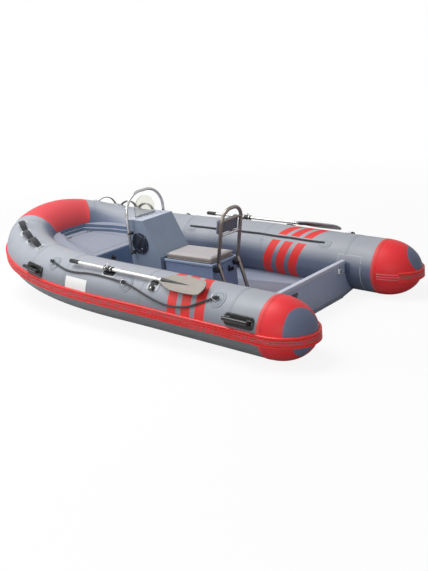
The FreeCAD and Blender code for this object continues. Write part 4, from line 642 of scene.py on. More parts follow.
def woven_webbing(name, colour, shade):
    """Flat woven polyester webbing: ribs across the strap with a dull, slightly hairy face."""
    finish, tree, place = new_finish(name)
    # Weft ribs are 2.5 mm apart and drawn 5 mm apart.
    ribs = node(tree, "TexWave", {"Vector": place, "Scale": 32.0, "Distortion": 1.0}, "Fac")
    hairs = node(tree, "TexNoise", {"Vector": place, "Scale": 60.0, "Detail": 3.0})
    hairs = node(tree, "Math", (hairs, 0.3), operation="MULTIPLY")
    weave = node(tree, "Math", (ribs, 0.7, hairs), operation="MULTIPLY_ADD")
    paint = node(tree, "Mix", {0: weave, 6: linear(colour), 7: linear(shade)}, 2, data_type="RGBA")
    shaded(tree, paint, 0.75, weave, 0.0008, 0.8, Sheen_Weight=0.25)
    return finish


def clear_acrylic(name):
    """Cast acrylic sheet, flame-polished at its edge: clear with a faint warm tint and light scratches."""
    finish, tree, place = new_finish(name)
    cloud, paint = clouded(tree, place, "f4f3ea", "ecebe2", 20.0, 3.0)
    scratched = node(tree, "MapRange", (cloud, 0.3, 0.7, 0.02, 0.09))
    shaded(tree, paint, scratched, IOR=1.49, Transmission_Weight=1.0)
    return finish


def seen_ray(tree):
    """One for a ray from the camera, or one that goes on through clear sheet."""
    rays = [node(tree, "LightPath", out=ray) for ray in ("Is Camera Ray", "Is Transmission Ray")]
    return node(tree, "Math", rays, operation="MAXIMUM")


def studio_floor(name, colour, thrown_back, glow):
    """Matt pale studio floor that shows white to the camera and still takes the boat's shadow."""
    finish, tree, place = new_finish(name)
    shader = tree.nodes["Principled BSDF"]
    # The floor throws back less light than it shows, as a white cut-out has no floor under it.
    diffuse = node(tree, "LightPath", out="Is Diffuse Ray")
    paint = node(tree, "Mix", {0: diffuse, 6: linear(colour), 7: linear(thrown_back)}, 2, data_type="RGBA")
    fill(tree, shader, {"Base Color": paint, "Roughness": 0.9})
    # Beyond the boat's shadow the floor is as white as the surroundings, so that no horizon shows.
    away = node(tree, "VectorMath", (place,), "Value", operation="LENGTH")
    far = node(tree, "MapRange", (away, 2.5, 7.0, glow, 1.0))
    share = node(tree, "Math", (seen_ray(tree), far), operation="MULTIPLY")
    light = node(tree, "Emission", ((1, 1, 1, 1), 1.0))
    both = node(tree, "MixShader", (share, shader.outputs[0], light))
    fill(tree, tree.nodes["Material Output"], {"Surface": both})
    return finish


FINISH = {}


def make_finishes(colours):
    """Every finish on the boat, by name."""
    FINISH.update({
        # The tubes' cloth, the grey tapes and the grey patches carry the tube's painted shade.
        "tube_grey": coated_fabric("coated_fabric_grey", colours.tube, colours.tube_shade, "stripes"),
        "tube_red": coated_fabric("coated_fabric_red", colours.red, colours.red_shade, "cone"),
        "bow_red": coated_fabric("coated_fabric_bow_red", "dd4e54", "d3484e"),
        "tape_grey": coated_fabric("seam_tape_grey", "a2a8b0", "979ea7", "tape"),
        "tape_red": coated_fabric("seam_tape_red", "e85552", "dd4a4b"),
        "tail_pink": coated_fabric("extruded_strake_worn", "e58583", "d9767a"),
        "patch_grey": coated_fabric("coated_fabric_patch", "9ea5ad", "949ba5", "tape"),
        "patch_pale": coated_fabric("coated_fabric_pale", "c6cace", "b9bec3"),
        "glue_line": coated_fabric("seam_edge_dark", "5f6770", "555d66"),
        "transom_flap": coated_fabric("coated_fabric_slate", "5d6a82", "54617a"),
        "strake_red": rubber_strake("extruded_strake_red"),
        "deck_paint": painted_aluminium(
            "powder_coat_deck", colours.deck, colours.deck_shade, 0.55, 3.5, 0.0009),
        "floor_paint": painted_aluminium("powder_coat_floor", "9497a6", "8b8e9e", 0.55, 3.5, 0.0009),
        "hull_paint": painted_aluminium("powder_coat_hull", "98a0b2", "8c95a8", 0.42),
        "transom_paint": painted_aluminium("powder_coat_transom", "b2bfd9", "a6b3cd", 0.42),
        "console_blue": painted_aluminium(
            "powder_coat_console", colours.console, colours.console_shade, 0.42, panel=0.686),
        "seat_rim": painted_aluminium("powder_coat_seat_rim", "93a2ba", "8897b0", 0.42),
        "seat_paint": painted_aluminium("powder_coat_seat", "8b9bbd", "8091b3"),
        "step_paint": painted_aluminium("powder_coat_step", "7288a9", "687e9f"),
        # The ledge's darker blue on its upright faces is painted shade; its upward faces take the deck colour.
        "ledge_paint": painted_aluminium("powder_coat_ledge_painted_shade", "687a95", "5f718c", level="949aa9"),
        # The flap takes the ledge's darker blue, as painted shade.
        "flap_paint": painted_aluminium("powder_coat_flap_painted_shade", "687a95", "5f718c"),
        "lid_pale": painted_aluminium("powder_coat_lid", "cbcfde", "c0c4d4"),
        "cushion_cover": grained_vinyl("vinyl_cushion_top", "b5afb0", "a9a3a4"),
        # A darker copy of the cushion's vinyl, as painted shade on its sides and piping.
        "cushion_side": grained_vinyl("vinyl_cushion_side_painted_shade", "a8a09b", "9c948f"),
        "pad_cover": grained_vinyl("vinyl_backrest", "6b6e79", "60636e"),
        "pipe_steel": bright_metal("stainless_pipe_polished", "d8d8d6", 0.16),
        "pipe_bronze": bright_metal("anodised_pipe_bronze", "9a948c", 0.3),
        "oar_shaft": bright_metal("anodised_oar_tube", "e2e0dc", 0.34),
        "bolt_steel": bright_metal("stainless_bolt", "cfd0d0", 0.22, 2.0),
        "eye_steel": bright_metal("cast_stainless", "c6c7c9", 0.3, 2.0),
        "black_plastic": moulded_plastic("glass_filled_nylon_black", "1d1e22", "25262b", 0.34),
        "handle_rubber": moulded_plastic("moulded_rubber_black", "090a0c", "101114", 0.2, 3.0, 0.0002),
        "oar_blade": moulded_plastic("polypropylene_blade", "958d84", "8a8279", 0.4),
        # The starboard blade is a darker copy of the same plastic, as painted shade.
        "oar_blade_painted_shade": moulded_plastic("polypropylene_blade_painted_shade", "878f97", "7d858e", 0.4),
        "lid_navy": moulded_plastic("moulded_polypropylene_navy", "1f2536", "272e42", 0.36),
        "foot_pale": moulded_plastic("extruded_pvc_pale", "b4bac4", "a7aeb9", 0.42),
        "plate_white": moulded_plastic("printed_vinyl_white", "f1f1ef", "e9e9e6", 0.3, 4.0, 0.0001),
        "rope_black": braided_rope("braided_rope_black"),
        "webbing": woven_webbing("webbing_black", "17181c", "2b2d33"),
        "screen_clear": clear_acrylic("cast_acrylic"),
    })


# The CAD nodes that wear each finish.
NODE_FINISHES = {
    "tube_grey": ["tube_port", "tube_starboard"],
    "tube_red": ["cone_port", "cone_starboard"],
    "bow_red": ["bow_section"],
    "strake_red": ["rubstrake_port", "rubstrake_starboard"],
    "patch_grey": ["glued_patches"],
    "plate_white": ["blank_plates"],
    "hull_paint": ["hull"],
    "floor_paint": ["cockpit_floor"],
    "transom_paint": ["transom"],
    "lid_pale": ["transom_cap"],
    "deck_paint": ["bow_deck", "bow_hatch_lid"],
    "ledge_paint": ["bow_ledge"],
    "step_paint": ["bow_step"],
    "console_blue": ["console_body"],
    "lid_navy": ["port_ring", "port_lid"],
    "screen_clear": ["windscreen"],
    "foot_pale": ["windscreen_foot"],
    "seat_paint": ["seat_box"],
    "seat_rim": ["seat_lid"],
    "cushion_cover": ["seat_cushion"],
    "pad_cover": ["backrest_pad"],
    "pipe_bronze": ["backrest_frame", "backrest_feet"],
    "pipe_steel": ["console_hoop", "bow_hatch_latches", "seat_lid_hinges", "bow_lid_hinges"],
    "bolt_steel": ["oarlock_pins"],
    "eye_steel": ["d_rings", "transom_eyes", "bow_eye"],
    "black_plastic": [
        "hoop_clamps", "seat_latch", "step_knob", "backrest_clamps", "oarlock_blocks", "oar_cradles",
        "oar_port_fittings", "oar_starboard_fittings"],
    "handle_rubber": ["carry_handles", "drain_boot"],
    "oar_shaft": ["oar_port_shaft", "oar_starboard_shaft"],
    "oar_blade": ["oar_port_blade"],
    # The starboard blade wears the painted shade copy of the blade's plastic.
    "oar_blade_painted_shade": ["oar_starboard_blade"],
    "webbing": ["grab_straps"],
    "rope_black": ["life_line_port", "life_line_starboard", "inner_line_port", "inner_line_starboard"],
}

# Flat-sided solids whose edges are rounded by live modifiers, by the radius of their edges.
ROUNDED_NODES = {
    0.005: ["seat_lid"],
    0.004: ["console_body", "seat_box"],
    0.003: ["seat_latch", "backrest_clamps", "hoop_clamps", "drain_boot", "port_lid", "step_knob"],
    0.002: ["transom_cap", "port_ring", "oar_cradles", "oarlock_blocks"],
    0.0015: ["bow_hatch_lid", "backrest_feet", "bow_hatch_latches"],
    0.001: ["windscreen_foot", "bow_step"],
}


def colour_property(name, description, code):
    """A colour that a user may change, with its first value from an sRGB hex code."""
    return bpy.props.FloatVectorProperty(
        name=name, description=description, default=linear(code), size=4, min=0.0, max=1.0, subtype="COLOR")


class BoatColours(bpy.types.PropertyGroup):
    """Colours that a user may change, each with the shade that clouds it."""
    tube: colour_property("Tubes", "Colour of the tubes' cloth", "aaadb5")
    tube_shade: colour_property("Tubes, shade", "Shade in the tubes' cloth", "9ea2ab")
    red: colour_property("Cones", "Colour of the cones' cloth", "f3343a")
    red_shade: colour_property("Cones, shade", "Shade in the cones' cloth", "ea2f35")
    deck: colour_property("Deck", "Colour of the bow deck's paint", "979caa")
    deck_shade: colour_property("Deck, shade", "Shade in the bow deck's paint", "8e93a2")
    console: colour_property("Console", "Colour of the console's paint", "8a98ac")
    console_shade: colour_property("Console, shade", "Shade in the console's paint", "7f8da2")


class BoatSizes(bpy.types.PropertyGroup):
    """Sizes that a user may change."""
    rope_radius: bpy.props.FloatProperty(
        name="Rope radius", description="Radius of the life line and the inner line", default=0.0082,
        unit="LENGTH")
    cushion_rise: bpy.props.FloatProperty(
        name="Cushion rise", description="How far the cushion may swell", default=0.008, unit="LENGTH")
    seam_width: bpy.props.FloatProperty(
        name="Seam width", description="Width of the tape over a tube seam", default=0.04, unit="LENGTH")
    strap_width: bpy.props.FloatProperty(
        name="Strap width", description="Width of the webbing straps at the bow", default=0.046,
        unit="LENGTH")
    stage_glow: bpy.props.FloatProperty(
        name="Stage glow", description="How white the floor looks to the camera", default=0.88, min=0.0,
        max=1.0, subtype="FACTOR")
    camera_lens: bpy.props.FloatProperty(
        name="Lens", description="Focal length for the photograph's view, in millimetres", default=50.48,
        unit="CAMERA")


def sizes():
    return bpy.context.scene.boat_sizes


class BOAT_OT_camera(bpy.types.Operator):
    """Set up the camera at the photograph's viewing angle"""
    bl_idname = "boat.camera"
    bl_label = "Camera"

    def execute(self, context):
        yaw, pitch, roll = (math.radians(turn) for turn in (48.2292, 17.3716, 5.8513))
        ahead = Vector((math.cos(yaw) * math.cos(pitch), -math.sin(yaw) * math.cos(pitch), -math.sin(pitch)))
        level = ahead.cross(Vector((0, 0, 1))).normalized()
        down = ahead.cross(level)
        right = level * math.cos(roll) + down * math.sin(roll)
        down = down * math.cos(roll) - level * math.sin(roll)
        data = bpy.data.cameras.new("photo_camera")
        data.lens = sizes().camera_lens
        data.sensor_width = 36.0
        data.clip_end = 3000.0
        camera = bpy.data.objects.new("photo_camera", data)
        context.scene.collection.objects.link(camera)
        turned = Matrix((right, -down, -ahead)).transposed().to_4x4()
        camera.matrix_world = Matrix.Translation((-4.5707, 4.797, 2.1389)) @ turned
        context.scene.camera = camera
        return {"FINISHED"}


def rope_knot(points, index, side, offset=-0.012):
    """Three turns of rope whipped round the life line where it passes a ring."""
    middle, before, after = (Vector(points[step]) for step in (index, index - 1, index + 1))
    along = (after - before).normalized()
    radius = sizes().rope_radius
    turns = []
    for step in (-1, 0, 1):
        axis = along + Vector((0.0, 0.048 * step, 0.072))
        place = facing(middle + along * (radius * 1.5 * step + offset), axis)
        turns.append(loop(radius * 1.15, radius * 0.6, place, around=28, section=10))
    return dressed(turns, "life_line_knot_%d_%s" % (index, side), "rope_black", sharp=60.0)


def rope_line(name, side, points):
    """A smooth rope through a row of points."""
    line = bpy.data.curves.new("%s_rope_%s" % (name, side), "CURVE")
    line.dimensions = "3D"
    line.resolution_u = 10
    line.bevel_depth = sizes().rope_radius
    line.bevel_resolution = 4
    line.use_fill_caps = True
    spline = line.splines.new("NURBS")
    spline.points.add(len(points) - 1)
    for point, place in zip(spline.points, points):
        point.co = (*place, 1.0)
    spline.order_u = 3
    spline.use_endpoint_u = True
    rope = bpy.data.objects.new(line.name, line)
    bpy.context.scene.collection.objects.link(rope)
    return marked(rope, rope.name, "rope_black", "boat", ["%s_%s" % (name, side)])


class BOAT_OT_ropes(bpy.types.Operator):
    """Lay the life line and the inner line on both tubes"""
    bl_idname = "boat.ropes"
    bl_label = "Ropes"

    def execute(self, context):
        for side, sign in (("port", 1), ("starboard", -1)):
            for name, route, held, length, lay in (
                    ("life_line", ROPE_ROUTE, ROPE_HELD, ROPE_LENGTH, "loose"),
                    ("inner_line", INNER_ROUTE, (), INNER_LENGTH, "taut")):
                points = [(x, y * sign, z) for x, y, z in route]
                rope = rope_line(name, side, points)
                knots = [rope_knot(points, index, side) for index in held]
        return {"FINISHED"}


class BOAT_OT_finishes(bpy.types.Operator):
    """Give every solid its finish and round the edges of the flat-sided ones"""
    bl_idname = "boat.finishes"
    bl_label = "Finishes"

    def execute(self, context):
        for finish, names in NODE_FINISHES.items():
            for name in names:
                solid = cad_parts[name]
                solid.data.materials.clear()
                solid.data.materials.append(FINISH[finish])
        for radius, names in ROUNDED_NODES.items():
            for name in names:
                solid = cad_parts[name]
                modified(solid, "WELD", merge_threshold=WELD_GAP)
                modified(solid, "DECIMATE", decimate_type="DISSOLVE", angle_limit=math.radians(1))
                modified(
                    solid, "BEVEL", width=radius, segments=3, limit_method="ANGLE", angle_limit=math.radians(40))
        return {"FINISHED"}


# The strake's lower edge under the tube's axis, and its outer ribs, one to each pitch.
STRAKE_DROP = 0.054
RIB_PITCH = 0.016


def mark_ribs(strake, sign):
    """Write on a strake's points how high each one lies, and whether it is on a rib or in a groove."""
    rows = AXIS_ROWS[::4]
    along = AXIS_ROWS[0][2]
    rib, level = (strake.data.attributes.new(word, "FLOAT", "POINT") for word in ("rib", "level"))
    for vertex in strake.data.vertices:
        spot = Vector((vertex.co.x, vertex.co.y * sign, vertex.co.z))
        if spot.x < SEAM_AFT.x:
            away = spot - SEAM_AFT
            height = (away - along * away.dot(along)).z + STRAKE_DROP
            reach = 0.015 if 0.003 < height % RIB_PITCH < 0.013 else 0.009
        else:
            middle, heading = min(rows, key=lambda row: (row[1] - spot).length_squared)[1:]
            away = spot - middle
            height = away.z + STRAKE_DROP
            reach = away.dot(Vector((-heading.y, heading.x, 0)).normalized()) - TUBE_RADIUS
        groove = min(abs(height - RIB_PITCH * step) for step in (2, 3))
        level.data[vertex.index].value = height
        rib.data[vertex.index].value = 0.0 if reach < 0.0125 and groove < 0.006 else 1.0


def tail_rib(level):
    """A thin rib on the inner side of the port cone, at a level under the tube's axis."""
    strip = sheet(1, 1, 40, 2)
    for vertex in strip.data.vertices:
        middle = SEAM_AFT - AXIS_ROWS[0][2] * (0.03 + (0.5 - vertex.co.x) * 0.175)
        start = Vector((middle.x, middle.y - 0.6, middle.z + level + vertex.co.y * 0.007))
        hit, point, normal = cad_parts["cone_port"].ray_cast(start, Vector((0, 1, 0)))[:3]
        if not hit:
            raise RuntimeError("no cone beside the strake's tail")
        vertex.co = point + normal * 0.0005
    return shaped(strip, "SOLIDIFY", thickness=0.004, offset=1.0)


class BOAT_OT_strakes(bpy.types.Operator):
    """Show the rub strakes with their ribs and grooves in two colours"""
    bl_idname = "boat.strakes"
    bl_label = "Rub strakes"

    def execute(self, context):
        for side, sign in (("port", 1), ("starboard", -1)):
            solid = "rubstrake_" + side
            strake = node_copy(solid)
            mark_ribs(strake, sign)
            dressed(strake, "rub_strake_" + side, "strake_red", stands_for=[solid], sharp=30.0)
        # Three ribs go on from the strake's end, forward along the cone's inner side.
        tails = mended(joined([tail_rib(level) for level in (0.006, -0.014, -0.034)]))
        dressed_both(tails, "strake_tail", "tail_pink", sharp=50.0)
        return {"FINISHED"}


def swollen(core, rise, frames=20):
    """Blow a block up by cloth pressure, no further than a rise."""
    scene = bpy.context.scene
    rest = [vertex.co.copy() for vertex in core.data.vertices]
    cloth = core.modifiers.new("cloth", "CLOTH")
    cloth.settings.use_pressure = True
    cloth.settings.uniform_pressure_force = 4.0
    cloth.settings.effector_weights.gravity = 0.0
    cloth.settings.quality = 4
    cloth.point_cache.frame_start = 1
    cloth.point_cache.frame_end = frames
    for step in range(1, frames + 1):
        scene.frame_set(step)
    alone(core)
    bpy.ops.object.modifier_apply(modifier=cloth.name)
    for vertex, start in zip(core.data.vertices, rest):
        moved = vertex.co - start
        if moved.length > rise:
            vertex.co = start + moved.normalized() * rise
    scene.frame_set(1)
    core.data.update()


def stuffed(middle, spans, rise, lean=0.0):
    core = rounded(block(*spans), min(spans) * 0.3)
    shaped(core, "REMESH", mode="VOXEL", voxel_size=0.005)
    swollen(core, rise)
    shaped(core, "SMOOTH", iterations=4, factor=0.5)
    shaped(core, "SUBSURF", levels=1, render_levels=1)
    settled(core, Matrix.Translation(middle) @ Matrix.Rotation(-lean, 4, "Y"))
    return smoothed(core, 80.0)


class BOAT_OT_cushion(bpy.types.Operator):
    """Make the seat cushion with its boxing"""
    bl_idname = "boat.cushion"
    bl_label = "Seat cushion"

    def execute(self, context):
        low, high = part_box("seat_cushion")
        middle, spans = (low + high) / 2, high - low
        rise = sizes().cushion_rise
        core = stuffed(
            middle - Vector((0, 0, 0.001)), (spans.x - rise, spans.y - rise, spans.z - rise * 0.8), rise)
        for vertex in core.data.vertices:
            vertex.co.z = max(vertex.co.z, low.z + 0.0004)
        core.data.update()
        dressed(
            core, "seat_cushion_cover", "cushion_cover", "seat_lid", ["seat_cushion"], None)
        # The sides and the faces below the top take the darker copy of the vinyl, as painted shade.
        core.data.materials.append(FINISH["cushion_side"])
        for face in core.data.polygons:
            if face.center.z < high.z - 0.011 or face.normal.z < 0.35:
                face.material_index = 1
        return {"FINISHED"}


# The backrest's posts lean aft from their lower end.
POST_X, POST_Z = -0.470, 0.372
POST_AFT, POST_RISE = 0.092, 0.443


class BOAT_OT_backrest_pad(bpy.types.Operator):
    """Make the pad of the backrest"""
    bl_idname = "boat.backrest_pad"
    bl_label = "Backrest pad"

    def execute(self, context):
        low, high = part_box("backrest_pad")
        core = stuffed((low + high) / 2, (0.038, 0.249, 0.121), 0.006, math.atan2(POST_AFT, POST_RISE))
        dressed(core, "backrest_pad_cover", "pad_cover", "boat", ["backrest_pad"], None)
        return {"FINISHED"}


class BOAT_OT_handles(bpy.types.Operator):
    """Make the moulded carry handles"""
    bl_idname = "boat.handles"
    bl_label = "Carry handles"

    def execute(self, context):
        name = "carry_handles"
        handles = shaped(node_copy(name), "REMESH", mode="VOXEL", voxel_size=0.0036)
        shaped(handles, "SMOOTH", iterations=4, factor=0.5)
        shaped(handles, "DISPLACE", strength=0.002, mid_level=0.0)
        shaped(handles, "SMOOTH", iterations=5, factor=0.5)
        dressed(handles, name + "_moulded", "handle_rubber", stands_for=[name], sharp=80.0)
        return {"FINISHED"}


def tube_band(name, run, width, thickness, finish, slot, first=-180.0, last=180.0):
    """A tape round a tube: a flat strip laid on its surface, all the way round or between two angles."""
    strip = sheet(width, TUBE_RADIUS * math.radians(last - first), 3, 72)
    wrapped(strip, run, (first + last) / 2)
    if last - first == 360.0:
        mended(strip, 0.00005, outwards=False)
    shaped(strip, "SOLIDIFY", thickness=thickness, offset=1.0)
    dressed_both(mended(strip), name, finish, sharp=50.0)


class BOAT_OT_seams(bpy.types.Operator):
    """Tape the seams of the tubes"""
    bl_idname = "boat.seams"
    bl_label = "Tube seams"

    def execute(self, context):
        width = sizes().seam_width
        reds = ("tape_red", "tube_red")
        tube_band("bow_seam_tape", BOW_SEAM + width * 0.25, width, 0.0014, *reds, -70.0, 165.0)
        tube_band("stern_seam_tape", width * 0.3, width * 0.6, 0.0014, *reds)
        for index, run in enumerate((0.27, 1.12, 2.02, 2.50, 3.22)):
            tube_band("side_seam_%d" % index, run, width * 0.6, 0.0012, "tape_grey", "tube_grey", -8.0, 172.0)
        long_seams = ((1.82, 1.34, 166.0), (0.2, 0.36, 166.0), (2.9, 0.8, 150.0))
        for index, (run, length, degrees) in enumerate(long_seams):
            seam = wrapped(fabric_patch(length, width * 0.5, 0.0012, 0.0, 60), run, degrees)
            dressed_both(seam, "long_seam_%d" % index, "tape_grey", sharp=50.0)
        return {"FINISHED"}


class BOAT_OT_straps(bpy.types.Operator):
    """Sew the webbing straps over the bow curve under their patches"""
    bl_idname = "boat.straps"
    bl_label = "Webbing straps"

    def execute(self, context):
        half, rise, foot = 0.088, 0.05, 0.0035
        width = sizes().strap_width
        straps, pads = [], []
        for run, degrees in STRAP_PLACES:
            strap = sheet(half * 2 + 0.05, width, 48, 4)
            for vertex in strap.data.vertices:
                share = min(abs(vertex.co.x) / half, 1.0)
                vertex.co.z = foot + rise * (1 - share ** 2.4) ** 1.25
            wrapped(strap, run, degrees)
            straps.append(shaped(strap, "SOLIDIFY", thickness=0.0062, offset=1.0))
            for end in (-1, 1):
                for patch, out in (
                        (fabric_patch(0.05, width * 1.35, 0.0095, 0.12), 0.014),
                        (fabric_patch(0.074, width * 1.9, 0.003, 0.2), 0.008)):
                    pads.append(wrapped(shifted(patch, x=end * (half + out)), run, degrees))
        port = smoothed(straps, 50.0)
        both = [port, across_boat(port)]
        dressed(both, "webbing_straps", "webbing", stands_for=["grab_straps"], sharp=None)
        dressed_both(pads, "strap_pads", "patch_pale")
        return {"FINISHED"}


class BOAT_OT_ring_patches(bpy.types.Operator):
    """Outline the stepped patches under the D-rings and the ends of the inner line"""
    bl_idname = "boat.ring_patches"
    bl_label = "Ring patches"

    def execute(self, context):
        steps, lines = [], []
        for run, degrees in RING_PLACES:
            for radius, height in ((0.0655, 0.0018), (0.05, 0.003)):
                steps.append(wrapped(fabric_patch(radius * 2, radius * 2, height, 1.0, 24), run, degrees))
                lines.append(wrapped(shifted(loop(radius, 0.0013), z=height - 0.0004), run, degrees))
        for place, degrees in ((-1.012, 132.0), (0.438, 134.0)):
            for length, width, height in ((0.11, 0.075, 0.0018), (0.07, 0.05, 0.0034)):
                patch = fabric_patch(length, width, height, 0.5, 16)
                steps.append(wrapped(patch, run_beside(place), degrees))
        dressed_both(steps, "ring_patch_steps", "patch_grey")
        dressed_both(lines, "ring_patch_lines", "glue_line", sharp=60.0)
        return {"FINISHED"}


def oar_hardware():
    """Grip, collars, and the wedge that carries the blade: a round socket that thins to a long spike."""
    pin = OAR_LENGTH * PIN_SHARE
    parts = [rounded(rod(0.0162, 0.104, on_oar(OAR_LENGTH - 0.054), 36), 0.005, 4)]
    parts += [loop(0.0156, 0.0017, on_oar(OAR_LENGTH - 0.096 + step * 0.0135), 36, 10) for step in range(7)]
    parts.append(rounded(rod(0.0172, 0.008, on_oar(OAR_LENGTH - 0.105), 36), 0.002))
    for distance, radius, length in (
            (0.0, 0.0195, 0.09), (-0.043, 0.021, 0.01), (0.043, 0.021, 0.01), (0.0, 0.0208, 0.03)):
        parts.append(rounded(rod(radius, length, on_oar(pin + distance), 40), 0.0018))
    parts.append(rounded(rod(0.0165, 0.034, on_oar(0.392)), 0.002))
    fresh()
    bpy.ops.mesh.primitive_cone_add(vertices=28, radius1=0.0035, radius2=0.0155, depth=0.255)
    parts.append(settled(bpy.context.active_object, on_oar(0.2475)))
    return parts


def oar_bands():
    """Bright bands round the shaft, two of them with a screw beside the pin."""
    pin = OAR_LENGTH * PIN_SHARE
    across = OAR_ALONG.cross(PIN_AXIS).normalized()
    out = (PIN_AXIS * 0.7 + across * -0.7).normalized()
    bands = []
    for place in (on_oar(pin - 0.03), on_oar(pin + 0.03)):
        bands.append(rounded(rod(0.0203, 0.009, place, 40), 0.001, 2))
        screw = rounded(block(0.008, 0.016, 0.006), 0.0015, 2)
        bands.append(settled(screw, set_up(place.translation + out * 0.0205, OAR_ALONG, out)))
    for radius, length, distance, edge in (
            (0.0142, 0.056, 0.43, 0.001), (0.0162, 0.01, 0.414, 0.0015),
            (0.0152, 0.01, OAR_LENGTH - 0.116, 0.0015)):
        bands.append(rounded(rod(radius, length, on_oar(distance), 36), edge, 2))
    return bands


def wing_nut():
    """The nut on the oar's pin, with its two wings."""
    parts = []
    top = set_up(PIN_POINT + PIN_AXIS * 0.041, OAR_ALONG, PIN_AXIS)
    for side in (-1, 1):
        place = top @ Matrix.Translation((0.015 * side, 0, 0))
        wing = rounded(block(0.02, 0.004, 0.02), 0.0018, 3, 20)
        parts.append(settled(wing, place @ Matrix.Rotation(math.radians(28 * side), 4, "Y")))
    parts.append(rounded(rod(0.0085, 0.012, facing(PIN_POINT + PIN_AXIS * 0.036, PIN_AXIS), 24), 0.003))
    return parts


class BOAT_OT_oars(bpy.types.Operator):
    """Shape the grips, collars and blade wedges of the oars, and their hardware on the tubes"""
    bl_idname = "boat.oars"
    bl_label = "Oars"

    def execute(self, context):
        bodies = ("oar_port", "oar_starboard")
        nodes = [[body + "_fittings"] for body in bodies]
        dressed_both(oar_hardware(), "oar_hardware", "black_plastic", bodies, nodes)
        dressed_both(oar_bands(), "oar_bands", "pipe_steel", bodies)
        dressed_both(wing_nut(), "wing_nut", "bolt_steel", sharp=50.0)
        bases = [
            wrapped(fabric_patch(0.116, 0.1, 0.0035, 0.3), CLIP_RUN, OAR_ANGLE - 6),
            wrapped(fabric_patch(0.16, 0.11, 0.003, 0.3), run_beside(0.0), OAR_ANGLE + 2)]
        dressed_both(bases, "oar_base", "patch_pale")
        lug = shifted(rounded(block(0.05, 0.036, 0.02), 0.006, 4, 20), z=0.011)
        lip = shifted(rounded(block(0.03, 0.016, 0.014), 0.004, 3, 20), z=0.02)
        clip = [wrapped(lug, CLIP_RUN, OAR_ANGLE - 15), wrapped(lip, CLIP_RUN, OAR_ANGLE - 11)]
        dressed_both(clip, "oar_clip_lug", "handle_rubber", sharp=50.0)
        bolt = bolt_head(0.004, 0.003, set_up(*on_tube(CLIP_RUN, OAR_ANGLE - 15, TUBE_RADIUS + 0.0205)))
        dressed_both(bolt, "oar_clip_bolt", "bolt_steel")
        return {"FINISHED"}


PORT_MIDDLE = Vector((0.343, 0.0, 0.484))
PORT_FACE = 0.1968


def port_bolt(degrees, reach, face, radius, height):
    """A bolt at an angle round the middle of the console's round port."""
    turn = math.radians(degrees)
    point = PORT_MIDDLE + Vector((math.cos(turn) * reach, face, math.sin(turn) * reach))
    return bolt_head(radius, height, facing(point, (0, 1, 0)), 16)


class BOAT_OT_console(bpy.types.Operator):
    """Fit the round port's bar and bolts, and the screws of the hoop's clamps"""
    bl_idname = "boat.console"
    bl_label = "Console fittings"

    def execute(self, context):
        side = set_up(PORT_MIDDLE + Vector((0, PORT_FACE, 0)), Vector((1, 0, 0)), Vector((0, 1, 0)))
        turned = side @ Matrix.Rotation(math.radians(62), 4, "Z")
        parts = [
            loop(0.067, 0.0035, side, 56, 12),
            settled(rounded(block(0.104, 0.014, 0.012), 0.005, 4, 20), turned),
            settled(rounded(rod(0.024, 0.006, None, 36), 0.002), turned)]
        dressed(parts, "port_lid_bar", "black_plastic", sharp=50.0)
        bolts = [port_bolt(step * 60 + 20, 0.0855, 0.194, 0.0034, 0.0024) for step in range(6)]
        bolts += [port_bolt(turn, 0.05, PORT_FACE, 0.0042, 0.003) for turn in (242, 300)]
        dressed(bolts, "port_bolts", "bolt_steel")
        clamps, screws = [], []
        x = 0.428
        for z in (0.402, 0.572):
            clamps.append(rounded(rod(0.0165, 0.013, Matrix.Translation((x, 0.225, z)), 40), 0.002))
            clamps.append(rounded(block(0.026, 0.032, 0.01, (x, 0.2025, z)), 0.003, 3, 20))
            clamps.append(rounded(block(0.03, 0.003, 0.03, (x, 0.1885, z)), 0.001, 2, 20))
            screws.append(bolt_head(0.0036, 0.003, facing((x, 0.241, z), (0, 1, 0))))
        port = smoothed(clamps, 40.0)
        both = [port, across_boat(port)]
        dressed(both, "clamp_bands", "black_plastic", stands_for=["hoop_clamps"], sharp=None)
        dressed_both(screws, "clamp_screws", "bolt_steel")
        # A folded seam runs along the foot of the console's slope.
        fold = rounded(block(0.006, 0.368, 0.0016, (0.1228, 0, 0.378)), 0.0006, 2)
        dressed(fold, "console_fold", "console_blue", sharp=None)
        return {"FINISHED"}


def cushion_welt(middle, half_length, half_width, level, radius=0.02, pull=0.55, overshoot=-0.3):
    """A round cord along the cushion's edge, with rounded corners."""
    fresh()
    bpy.ops.curve.primitive_bezier_circle_add(radius=1)
    line = bpy.context.active_object
    line.data.bevel_depth = 0.0026
    line.data.bevel_resolution = 3
    points = line.data.splines[0].bezier_points
    points.add(4)
    for index, (along, across) in enumerate(((1, 1), (-1, 1), (-1, -1), (1, -1))):
        corner = Vector((middle + along * half_length, across * half_width, level))
        pair = [corner + Vector((0, -across * radius, 0)), corner + Vector((-along * radius, 0, 0))]
        if along * across < 0:
            pair.reverse()
        for step, point in enumerate(pair):
            knot = points[index * 2 + step]
            knot.handle_left_type = knot.handle_right_type = "FREE"
            knot.co = point
            knot.handle_left = point + (corner - point) * (pull if step else overshoot)
            knot.handle_right = point + (corner - point) * (overshoot if step else pull)
    bpy.ops.object.convert(target="MESH")
    return settled(bpy.context.active_object)


